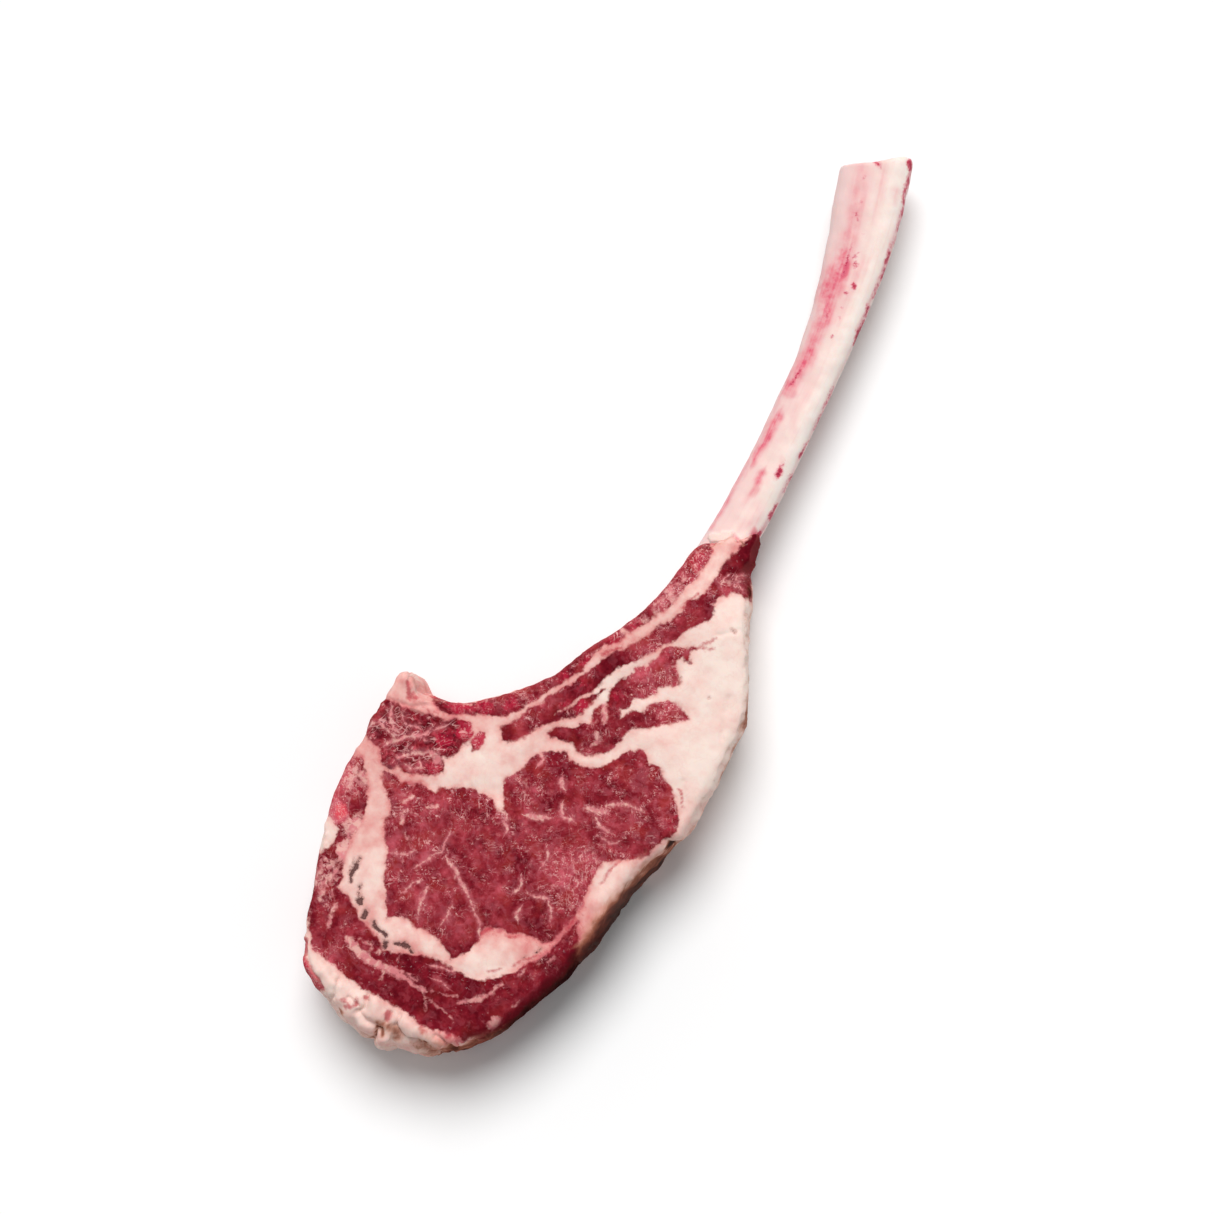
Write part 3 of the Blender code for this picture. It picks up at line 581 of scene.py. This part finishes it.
# Modelling
def choose(thing):
    bpy.ops.object.select_all(action="DESELECT")
    thing.select_set(True)
    bpy.context.view_layer.objects.active = thing


def finish_with(thing, kind, **settings):
    choose(thing)
    modifier = thing.modifiers.new(kind.lower(), kind)
    for key, value in settings.items():
        setattr(modifier, key, value)
    bpy.ops.object.modifier_apply(modifier=modifier.name)


def merged_copy(node, name):
    """Copy of a solid of the frame, with its loose triangles joined."""
    made = bpy.data.objects.new(name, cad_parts[node].data.copy())
    bpy.context.scene.collection.objects.link(made)
    made.data.materials.clear()
    choose(made)
    bpy.ops.object.mode_set(mode="EDIT")
    bpy.ops.mesh.select_all(action="SELECT")
    bpy.ops.mesh.remove_doubles(threshold=1e-6)
    bpy.ops.object.mode_set(mode="OBJECT")
    return made


def rows_of(parts, key):
    flat = np.empty(len(parts) * 3, np.float32)
    parts.foreach_get(key, flat)
    return flat.reshape(-1, 3).astype(float)


def points_of(thing):
    """Points of a mesh in millimetres."""
    return rows_of(thing.data.vertices, "co") / MM


def normals_of(thing):
    return rows_of(thing.data.vertex_normals, "vector")


def move_points(thing, points):
    thing.data.vertices.foreach_set("co", (points * MM).astype(np.float32).ravel())
    thing.data.update()


def store(thing, **values_of):
    """Keeps a value for each point, under a name that the finish reads."""
    for name, values in values_of.items():
        layer = thing.data.attributes.new(name, "FLOAT", "POINT")
        layer.data.foreach_set("value", np.asarray(values, np.float32))


def weigh(thing, **weights_of):
    """Vertex groups of the given weights, in even steps."""
    for name, weights in weights_of.items():
        group = thing.vertex_groups.new(name=name)
        steps = np.round(np.clip(weights, 0.0, 1.0) * WEIGHT_STEPS).astype(int)
        for step in range(1, WEIGHT_STEPS + 1):
            group.add(np.flatnonzero(steps == step).tolist(), step / WEIGHT_STEPS, "REPLACE")


def relief(thing, group, kind, size, height, **settings):
    """Raises and sinks the surface by a lumpy texture, where the group says."""
    texture = bpy.data.textures.new(f"{group}_{kind.lower()}", kind)
    texture.noise_scale = size * MM
    for key, value in settings.items():
        setattr(texture, key, value)
    finish_with(thing, "DISPLACE", texture=texture, texture_coords="LOCAL", vertex_group=group,
                mid_level=0.5, strength=height * MM)


def press(thing, heights):
    """Raises each point along its normal by its own height in millimetres."""
    move_points(thing, points_of(thing) + normals_of(thing) * heights[:, None])


def refine_upward(thing, lowest, steepest):
    """Halves the spacing of the points where the surface faces up."""
    mesh = thing.data
    chosen = (rows_of(mesh.polygons, "normal")[:, 2] > steepest) \
        & (rows_of(mesh.polygons, "center")[:, 2] > lowest * MM)
    choose(thing)
    bpy.context.tool_settings.mesh_select_mode = (False, False, True)
    bpy.ops.object.mode_set(mode="EDIT")
    bpy.ops.mesh.select_all(action="DESELECT")
    bpy.ops.object.mode_set(mode="OBJECT")
    mesh.polygons.foreach_set("select", chosen)
    bpy.ops.object.mode_set(mode="EDIT")
    bpy.ops.mesh.subdivide(number_cuts=1, smoothness=0.0)
    bpy.ops.object.mode_set(mode="OBJECT")


# Finishes
class Wire:
    """An output of a node; sums on it add Math nodes."""

    def __init__(self, paint, socket):
        self.paint, self.socket = paint, socket

    def math(self, operation, first, second=0.0):
        return self.paint.node("Math", {"operation": operation}, {0: first, 1: second})

    def __add__(self, other):
        return self.math("ADD", self, other)

    def __sub__(self, other):
        return self.math("SUBTRACT", self, other)

    def __rsub__(self, other):
        return self.math("SUBTRACT", other, self)

    def __mul__(self, other):
        return self.math("MULTIPLY", self, other)

    def __neg__(self):
        return self * -1.0

    def __abs__(self):
        return self.math("ABSOLUTE", self)

    __radd__ = __add__


class Paint:
    """A material under construction. Colours are red, green and blue out of 255."""

    def __init__(self, name):
        self.material = bpy.data.materials.new(name)
        self.material.use_nodes = True
        self.tree = self.material.node_tree
        self.tree.nodes.clear()
        self.at = None

    def node(self, kind, settings=None, sockets=None, out=0):
        made = self.tree.nodes.new("ShaderNode" + kind)
        for key, value in (settings or {}).items():
            if key == "stops":
                row = made.color_ramp.elements
                while len(row) < len(value):
                    row.new(1.0)
                for stop, (place, colour) in zip(row, value):
                    stop.position, stop.color = place, colour
            else:
                setattr(made, key, value)
        for key, value in (sockets or {}).items():
            if isinstance(value, Wire):
                self.tree.links.new(value.socket, made.inputs[key])
            else:
                made.inputs[key].default_value = value
        return Wire(self, made.outputs[out]) if made.outputs else None

    def step(self, value, low, high):
        return self.node("MapRange", {"interpolation_type": "SMOOTHSTEP"},
                         {"Value": value, "From Min": low, "From Max": high})

    def limit(self, value):
        return self.node("Clamp", None, {"Value": value})

    def largest(self, first, *others):
        for other in others:
            first = self.node("Math", {"operation": "MAXIMUM"}, {0: first, 1: other})
        return first

    def mix(self, share, first, second):
        first, second = (tint(*c) if isinstance(c, tuple) else c for c in (first, second))
        return self.node("Mix", {"data_type": "RGBA"}, {0: share, 6: first, 7: second}, out=2)

    def layers(self, under, value, *rows):
        """Lays colours over another, each more as a value goes from low to high."""
        for colour, low, high, share in rows:
            under = self.mix(self.step(value, low, high) * share, under, colour)
        return under

    def ramp(self, value, *stops):
        """Colours along a value; each stop is its place, then its colour."""
        return self.node("ValToRGB", {"stops": [(place, tint(*parts)) for place, *parts in stops]},
                         {0: value})

    def drawn(self, name):
        return self.node("Attribute", {"attribute_name": name}, out=2)

    def place(self, stretch=(1.0, 1.0, 1.0)):
        """Object coordinates in millimetres, with each axis scaled."""
        return self.node("VectorMath", {"operation": "MULTIPLY"}, {
            0: self.node("TexCoord", out=3), 1: tuple(1.0 / MM * s for s in stretch)})

    def cloud(self, size, detail=2.0, rough=0.5, bent=0.0, at=None):
        """Noise of about 0 to 1 whose lumps are size millimetres across."""
        return self.node("TexNoise", None, {
            "Vector": at or self.at, "Scale": 1.0 / size, "Detail": detail, "Roughness": rough,
            "Distortion": bent})

    def stir(self, reach, *settings):
        """Noise round zero, about reach from its lowest to its highest."""
        return (self.cloud(*settings) - 0.5) * reach

    def cells(self, scale, out=0):
        return self.node("TexVoronoi", {"feature": "F1"}, {"Vector": self.at, "Scale": scale}, out)

    def lines(self, value, low, high):
        """Thin lines where a noise passes its middle."""
        return 1.0 - self.step(abs(value - 0.5), low, high)

    def fibres(self, turn, width, length):
        """Noise drawn out along one direction of the face, in degrees."""
        turned = self.node("VectorRotate", {"rotation_type": "Z_AXIS"},
                           {"Vector": self.at, "Angle": math.radians(turn)})
        drawn_out = self.node("VectorMath", {"operation": "MULTIPLY"}, {
            0: turned, 1: (1.0 / length, 1.0 / width, 1.0 / length)})
        return self.cloud(1.0, 0.6, 0.5, 0.9, at=drawn_out)

    def surface(self, sockets, bump=None):
        """Ends the material with these values and wires on the shader's sockets."""
        if bump:
            sockets["Normal"] = bump
        shader = self.node("BsdfPrincipled", None, sockets)
        self.node("OutputMaterial", None, {"Surface": shader})
        return self.material


def tint(red, green, blue, light=LIGHT):
    """Colour of a surface that looks like this, out of 255, in the studio light."""
    rows = []
    for part in (red, green, blue):
        part /= 255.0
        part = part / 12.92 if part <= 0.04045 else ((part + 0.055) / 1.055) ** 2.4
        rows.append(part / light)
    return (*rows, 1.0)


def meat_finish():
    paint = Paint("raw_beef")
    paint.at = paint.place((1.0, 1.0, 0.4))
    step, mix, layers, largest = paint.step, paint.mix, paint.layers, paint.largest
    cloud, stir, lines = paint.cloud, paint.stir, paint.lines
    lean, tone, rose, scatter, rind, stain, crag = map(
        paint.drawn, ("lean", "tone", "rose", "scatter", "rind", "stain", "crag"))

    # Where lean meets fat
    edge = lean + (stir(2.6, 2.4) + stir(0.8, 0.9))
    broad = cloud(9.0)
    muscle = step(edge, -(broad * 1.6), 0.5)

    # Fat in the lean: dots, strands, curls, splits, veins, seams and islands. The dots, strands and
    # curls are pale flecks of fat and also painted glints of the wet lean, and glints are painted
    # highlights on the crimson parts.
    patch = cloud(7.0, 3.0, 0.55)
    medium = cloud(2.6, 2.0, 0.5, 0.6)
    grain = cloud(1.0)
    busy = cloud(6.0, 3.0, 0.6) + (tone - 0.46) * 0.5 + scatter * 0.16
    cluster, lively = step(busy, 0.52, 0.68), step(busy, 0.4, 0.62)
    chance = paint.node("TexWhiteNoise", None, {"Vector": paint.cells(0.95, out=2)})
    dots_and_glints = (1.0 - step(paint.cells(0.95), chance * 0.12, 0.16 + chance * 0.3)) * largest(
        cluster * step(chance, 0.6, 0.8), step(chance, 0.965, 0.98) * 0.45)
    dots_and_glints = dots_and_glints * paint.limit(tone + 0.3)
    net = lines(cloud(3.4, 1.0, 0.5, 1.6), 0.0, 0.04)
    falling, rising = (step(paint.fibres(turn, 0.9, 2.8), 0.57, 0.74) for turn in (58.0, -35.0))
    lie = step(cloud(16.0, 1.0), 0.44, 0.56)
    strands_and_glints = (falling * lie + rising * (1.0 - lie)) * (lively * 0.2 + cluster * 0.5)
    curled = lines(cloud(2.1, 1.0, 0.5, 1.8), 0.01, 0.05)
    curls_and_glints = curled * step(cloud(2.6, 1.0), 0.48, 0.6) * cluster
    splits = lines(paint.fibres(-49.0, 3.4, 9.0), 0.012, 0.032)
    across = lines(cloud(5.0, 2.0, 0.6, 1.2), 0.006, 0.024)
    craggy = largest(splits, across * 0.7) * crag * step(cloud(5.0, 1.0), 0.44, 0.58)
    near_vein = (paint.drawn("vein_half") - abs(paint.drawn("vein_side"))
                 + stir(3.0, 1.5, 3.0, 0.6))
    halo, veins = step(near_vein, -1.8, 0.3), step(near_vein, -0.3, 0.8)
    seams = step(paint.drawn("seam") + stir(3.6, 1.7, 3.0, 0.55), -0.6, 1.0)
    islands = step(cloud(3.2, 3.0, 0.65, 0.6) + scatter * scatter * 0.24, 0.56, 0.7)
    clear = step(paint.drawn("crimson") + (medium - 0.5) * 0.9, 0.2, 0.7)
    glints = step(cloud(1.1, 2.0, 0.6), 0.58, 0.68) * clear

    # Colour of the lean
    flesh_tone = (tone - 0.03 + (patch - 0.5) * 1.4 + (medium - 0.5) * (0.6 + scatter * 0.7 + crag * 1.5)
             + (grain - 0.5) * 0.16 - lively * (1.0 - net) * 0.08)
    pinker_tone = paint.limit(tone * 1.6)
    red = mix(step(tone, 0.75, 1.2), (198, 38, 68), (240, 76, 88))
    pale = mix(step(medium, 0.42, 0.62) * step(tone, 0.08, 0.38), (223, 136, 140), (240, 184, 174))
    flesh = paint.ramp(flesh_tone, (0.0, 96, 12, 25), (0.3, 126, 25, 38), (0.55, 152, 45, 56),
                       (0.8, 184, 72, 84), (1.0, 208, 94, 108))
    flesh = layers(flesh, broad, ((162, 50, 44), 0.48, 0.7, pinker_tone * 0.55))
    flesh = layers(flesh, cloud(4.0, 2.0, 0.5, 0.9), ((184, 94, 106), 0.5, 0.64, pinker_tone * 0.34))
    flesh = mix(clear * 0.65, flesh, red)
    flesh = mix(largest(halo * 0.35, net * lively * 0.3), flesh, (208, 116, 124))
    flesh = mix(largest(seams * 0.85, veins * 0.85, islands * scatter * 0.95), flesh, pale)
    # Pale flecks of fat and veins of the crag, with painted glints and highlights, in one pale pink
    flesh = mix(largest(strands_and_glints * 0.7, curls_and_glints * 0.85, dots_and_glints * 0.8, glints * 0.45, craggy * 0.7),
                flesh, (240, 176, 174))

    # Colour of the fat
    blush = rose + stir(0.9, 6.0, 3.0, 0.6) + step(edge, -2.6, 0.2) * 0.26
    fat = paint.ramp(blush, (0.0, 250, 229, 218), (0.3, 247, 212, 202), (0.6, 239, 182, 174),
                     (0.85, 229, 149, 145), (1.0, 212, 116, 120))
    creases = lines(cloud(9.0, 3.0, 0.55, 0.5), 0.0, 0.02)
    fat = mix(creases * 0.12, fat, (226, 164, 152))
    flecks = (step(cloud(1.7, 3.0, 0.6) + rose * 0.06, 0.6, 0.7)
              * step(edge, -4.0 - rose * 2.0, 0.0) * step(rose, 0.3, 0.9))
    fat = mix(flecks * 0.6, fat, (196, 76, 88))
    marks = paint.drawn("red_mark") + stir(2.4, 1.6, 3.0, 0.6)
    fat = layers(fat, marks, ((190, 52, 68), -0.9, 0.7, 0.75))
    colour = mix(muscle, fat, flesh)

    # Holes darkened with painted shade, the lumpy rind, and the dried and browned outside, deepened
    # with painted shade
    hole = paint.drawn("pit") + stir(2.2, 1.2, 3.0, 0.7)
    # A pale rim, dark painted shade and a lighter middle in each pit
    colour = layers(colour, hole, ((196, 142, 134), -1.0, 0.2, 0.55),
                    ((84, 50, 50), -0.1, 0.6, 0.9), ((150, 110, 104), 0.8, 1.4, 0.5))
    lumps = cloud(4.6, 4.0, 0.62, 0.8)
    bare_rind = rind * (1.0 - muscle)
    colour = layers(colour, lumps, ((214, 164, 144), 0.53, 0.64, bare_rind * 0.42))
    colour = layers(colour, -lumps, ((250, 226, 214), -0.46, -0.38, bare_rind * 0.55))
    colour = mix(rind * muscle * 0.2, colour, (190, 100, 100))
    grained = cloud(3.4, 4.0, 0.6, 0.5, at=paint.place((1.0, 0.36, 0.7)))
    dark = stain + (grained - 0.5) * 0.8 * step(stain, 0.0, 0.3)
    # Crust on the fat and dried lean, both running to near black with painted shade on the right
    # side and by the neck
    crust_and_shade = paint.ramp(dark, (0.0, 226, 176, 156), (0.25, 206, 146, 124), (0.5, 152, 90, 70),
                       (0.75, 92, 44, 34), (1.0, 44, 22, 18))
    dried_and_shade = paint.ramp(dark, (0.0, 128, 18, 36), (0.5, 100, 20, 30), (0.8, 66, 26, 24),
                       (1.0, 30, 14, 13))
    outside = mix(step(edge + (lumps - 0.5) * 9.0, -2.6, 2.6), crust_and_shade, dried_and_shade)
    colour = layers(colour, dark, (outside, 0.0, 0.5, 0.95))

    bump = paint.node("Bump", None, {
        "Strength": 0.5, "Distance": 0.24 * MM,
        "Height": (grain * (0.1 + muscle * 0.1) + medium * muscle + craggy * 0.2
                   + muscle * (veins * 0.2 + dots_and_glints * 0.15))})
    wet = step(grain, 0.58, 0.72) * (1.0 - rind * 0.85)
    return paint.surface({
        "Base Color": colour, "Roughness": 0.45 + (grain - 0.5) * 0.2,
        "Coat Weight": wet * (muscle * (0.2 + cluster * 0.3) + 0.1), "Coat Roughness": 0.14,
        "Subsurface Weight": 0.08, "Subsurface Scale": 1.0 * MM, "IOR": 1.4,
        "Specular IOR Level": 0.0}, bump)


def bone_finish():
    paint = Paint("fresh_bone")
    paint.at = paint.place()
    mix, layers, cloud, stir = paint.mix, paint.layers, paint.cloud, paint.stir
    along, across, blush, core = map(paint.drawn, ("along", "across", "blush", "core"))
    run = paint.node("CombineXYZ", None, {"X": along * 0.07, "Y": across * 11.0,
                                          "Z": paint.drawn("height")})
    streak = cloud(1.6, 3.0, 0.6, at=run)
    wide_streak = cloud(4.5, at=run)
    lump = cloud(4.0, 3.0, 0.6)

    # Ivory with painted light: lighter toward the bone's right edge and a greyer pink toward its
    # left, as the light falls across it
    colour = paint.ramp(across * 0.5 + 0.5 + (wide_streak - 0.5) * 0.4 + (lump - 0.5) * 0.5,
                        (0.0, 240, 207, 204), (0.18, 244, 209, 205), (0.42, 247, 213, 207),
                        (0.7, 251, 228, 219), (1.0, 254, 242, 234))
    rosy = (blush * (0.6 + (lump - 0.5) * 1.8) + (streak - 0.5) * blush * 1.4
            + blush * blush * 0.3)
    colour = mix(paint.limit(rosy), colour, (232, 104, 126))
    colour = layers(colour, rosy, ((216, 70, 104), 0.8, 1.5, 0.7))
    colour = layers(colour, streak, ((240, 176, 174), 0.55, 0.75, 0.18))
    speck = paint.drawn("speck") + stir(4.2, 1.1, 4.0, 0.75) + stir(3.6, 9.0)
    colour = layers(colour, speck, ((226, 112, 134), -0.8, 0.4, 0.65),
                    ((196, 34, 74), 0.15, 0.7, 0.9), ((124, 20, 44), 0.9, 1.5, 0.7))
    colour = mix(paint.drawn("film") * 0.8, colour, (250, 224, 214))
    pores = paint.cells(0.9)
    marrow = mix(paint.step(pores, 0.15, 0.5), (118, 30, 34), (196, 116, 104))
    colour = mix(core, colour, marrow)

    bump = paint.node("Bump", None, {"Strength": 0.4, "Distance": 0.3 * MM,
                                     "Height": streak + pores * core * 2.0})
    return paint.surface({
        "Base Color": colour, "Roughness": 0.5 + (streak - 0.5) * 0.2,
        "Coat Weight": paint.limit(rosy) * 0.1 + 0.04, "Coat Roughness": 0.25,
        "Subsurface Weight": 0.12, "Subsurface Scale": 1.5 * MM, "IOR": 1.4,
        "Specular IOR Level": 0.2}, bump)


# The meat
def make_meat():
    meat = merged_copy("meat", "beef_slab")
    finish_with(meat, "REMESH", mode="VOXEL", voxel_size=SLAB_GRAIN * MM, use_smooth_shade=True)
    finish_with(meat, "SMOOTH", factor=0.5, iterations=4)
    refine_upward(meat, lowest=27.0, steepest=0.35)
    finish_with(meat, "SMOOTH", factor=0.5, iterations=3)

    points = draw_tip(lean_out(points_of(meat)))
    move_points(meat, points)
    depth = smooth_step(FACE_LEVEL - points[:, 2], 7.0, 40.0)
    # What is drawn on the face runs on through the slab and wanders more the deeper it is.
    spots = to_level(points, FACE_LEVEL)
    spots += (drift(points, 16.0) * 9.0 + drift(points, 6.0) * 3.0) * depth[:, None]
    spots += drift(points, 4.0) * 0.9 + drift(points, 1.9) * 0.35
    lean = np.max([depth_inside(spots, outline) for outline in MUSCLES], axis=0)
    side, half = vein_sides(spots, VEINS)
    rind = smooth_step(0.75 - normals_of(meat)[:, 2], 0.0, 0.45)
    pit = strokes(spots, PITS)
    # Browning and painted shade along the outside, less toward the upper end
    upper_end = smooth_step(spots[:, 1] + drift(points, 13.0)[:, 0] * 18.0, -98.0, -62.0)
    browning_and_shade = brushed(spots, BROWNING_AND_SHADE) * (1.0 - upper_end * smooth_step(depth, 0.03, 0.3))
    # Painted shade in the notch of the fat edge
    notch = brushed(spots, NOTCH) * (1.0 - smooth_step(depth, 0.0, 0.2))
    crag = smooth_step(depth_inside(spots, CRAG), -1.0, 3.0)
    store(meat, lean=np.clip(lean, -8.0, 8.0), seam=np.clip(strokes(spots, SEAMS), -5.0, 5.0),
          tone=blend_of(spots, TONES), rose=blend_of(spots, ROSES),
          vein_side=np.clip(side, -4.0, 4.0), vein_half=half,
          scatter=patches(spots, SCATTER), rind=rind, crimson=patches(spots, CRIMSONS),
          stain=np.maximum(browning_and_shade, notch), pit=np.clip(pit, -3.0, 3.0),
          red_mark=np.clip(strokes(spots, RED_MARKS), -3.0, 3.0), crag=crag)

    # The bottom few millimetres stay flat, because the steak rests on them.
    clear = smooth_step(points[:, 2], 1.0, 4.0)
    muscle = smooth_step(lean, -0.5, 1.0)
    weigh(meat, muscle=muscle * clear, fat=(1.0 - muscle) * clear, crag=crag * clear,
          border=bell(lean, 0.0, 1.1) * clear, rind_fat=rind * clear * (1.0 - 0.5 * muscle))
    folds = sum(height * bell(nearest(spots, line)[0], 0.0, half) for half, height, line in FOLDS)
    folds *= 1.0 + 0.45 * smooth_step(-199.0 - spots[:, 1], 0.0, 4.0)
    folds -= 0.5 * smooth_step(pit, -0.8, 0.8) + 0.8 * smooth_step(-204.0 - spots[:, 1], 0.0, 5.0)
    press(meat, folds * clear)
    relief(meat, "muscle", "CLOUDS", 5.0, 0.5, noise_depth=1)
    relief(meat, "fat", "CLOUDS", 9.0, 0.7, noise_depth=2)
    relief(meat, "crag", "CLOUDS", 4.0, 2.0, noise_depth=1)
    relief(meat, "rind_fat", "CLOUDS", 7.0, 1.4, noise_depth=3)
    relief(meat, "rind_fat", "VORONOI", 6.5, 1.8)
    finish_with(meat, "DISPLACE", vertex_group="border", mid_level=0.0, strength=BORDER_SINK * MM)

    choose(meat)
    bpy.ops.object.shade_smooth()
    meat.data.materials.append(meat_finish())
    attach(meat, "root")
    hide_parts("meat")


# The bone
def rise_to_square(across, rise):
    """How far the right shoulder of the bone stands out beyond its round section."""
    turn = np.arctan2(np.clip(rise, 0.0, None), across)
    return SHOULDER_RISE * bell(turn, *SHOULDER) * (rise > 0)


def make_bone():
    bone = merged_copy("rib_bone", "rib_shaft")
    finish_with(bone, "REMESH", mode="VOXEL", voxel_size=BONE_GRAIN * MM, use_smooth_shade=True)
    finish_with(bone, "SMOOTH", factor=0.5, iterations=4)
    refine_upward(bone, lowest=20.0, steepest=0.2)
    finish_with(bone, "SMOOTH", factor=0.5, iterations=2)

    points = points_of(bone)
    flat = points[:, :2] - MIDDLE
    gap, place, side = nearest(flat, BONE_LINE)
    length = np.sum(np.hypot(*np.diff(np.array(BONE_LINE), axis=0).T))
    reach = np.interp(place * (len(BONE_LINE) - 1), np.arange(len(BONE_LINE)), BONE_REACH)
    across = side * gap / reach
    rise = (points[:, 2] - BONE_MIDDLE) / BONE_RISE
    outward = normals_of(bone)
    points = points + outward * (rise_to_square(across, rise) * reach)[:, None]
    move_points(bone, points)

    spots = to_level(points, BONE_LEVEL)
    spots += drift(points, 8.0) * 1.2 + drift(points, 2.6) * 0.6
    upward = smooth_step(outward[:, 2], -0.1, 0.3)
    below = 0.4 * smooth_step(drift(points, 11.0)[:, 0], 0.05, 0.35) * (1.0 - upward)
    lower = 1.0 - smooth_step(outward[:, 2], -0.3, 0.3)
    film = smooth_step(FILM[0] - nearest(spots, FILM[1])[0], -0.4, 0.8) * upward
    beyond = (flat - SAW_POINT) @ np.array((-SAW_ACROSS[1], SAW_ACROSS[0]))
    middle = (flat - SAW_POINT) @ SAW_ACROSS + SAW_SHIFT
    from_middle = np.abs(middle / SAW_REACH[0]) ** SQUARENESS \
        + np.abs((points[:, 2] - BONE_MIDDLE) / SAW_REACH[1]) ** SQUARENESS
    core = smooth_step(beyond, -0.9, -0.4) * smooth_step(MARROW - from_middle, 0.0, 0.14)
    store(bone, along=place * length, across=across, height=points[:, 2],
          blush=brushed(spots, BLUSHES) * upward + below,
          speck=np.clip(strokes(spots, SPECKS), -3.0, 3.0) - 2.2 * lower, film=film, core=core)

    weigh(bone, shaft=1.0 - core, film=film)
    relief(bone, "shaft", "CLOUDS", 9.0, 0.7, noise_depth=1)
    finish_with(bone, "DISPLACE", vertex_group="film", mid_level=0.0, strength=FILM_RISE * MM)

    choose(bone)
    bpy.ops.object.shade_smooth()
    bone.data.materials.append(bone_finish())
    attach(bone, "root")
    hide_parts("rib_bone")


# The studio
def make_studio():
    bpy.ops.mesh.primitive_plane_add(size=FLOOR_SIZE, location=(0.0, 0.0, 0.0))
    floor = bpy.context.active_object
    floor.name = "floor"
    paint = Paint("pale_floor")
    floor.data.materials.append(paint.surface({
        "Base Color": (0.92, 0.92, 0.92, 1.0), "Roughness": 0.95, "Specular IOR Level": 0.0}))

    world = bpy.data.worlds.new("studio")
    bpy.context.scene.world = world
    world.use_nodes = True
    sky = world.node_tree.nodes["Background"].inputs
    sky["Color"].default_value = (1.0, 1.0, 1.0, 1.0)
    sky["Strength"].default_value = SKY_LIGHT

    lamp = bpy.data.lights.new("key", "SUN")
    lamp.energy = KEY_LIGHT
    lamp.angle = KEY_SPREAD
    key = bpy.data.objects.new("key", lamp)
    bpy.context.scene.collection.objects.link(key)
    key.rotation_euler = KEY_TRAVEL.to_track_quat("-Z", "Y").to_euler()

    lens = bpy.data.cameras.new("view")
    lens.lens = LENS
    lens.sensor_width = SENSOR
    lens.clip_end = FAR_CLIP
    camera = bpy.data.objects.new("view", lens)
    bpy.context.scene.collection.objects.link(camera)
    eye_point = Vector((*(FAR_POINT[:2] + MIDDLE), FAR_POINT[2])) * MM
    target = Vector((*(VIEW_MIDDLE + MIDDLE), FACE_LEVEL)) * MM
    ahead = (target - eye_point).normalized()
    right = ahead.cross(VIEW_UP).normalized()
    turn = Matrix((right, right.cross(ahead), -ahead)).transposed()
    camera.matrix_world = Matrix.Translation(eye_point) @ turn.to_4x4()
    bpy.context.scene.camera = camera
    bpy.context.scene.view_settings.view_transform = "Standard"


make_meat()
make_bone()
make_studio()
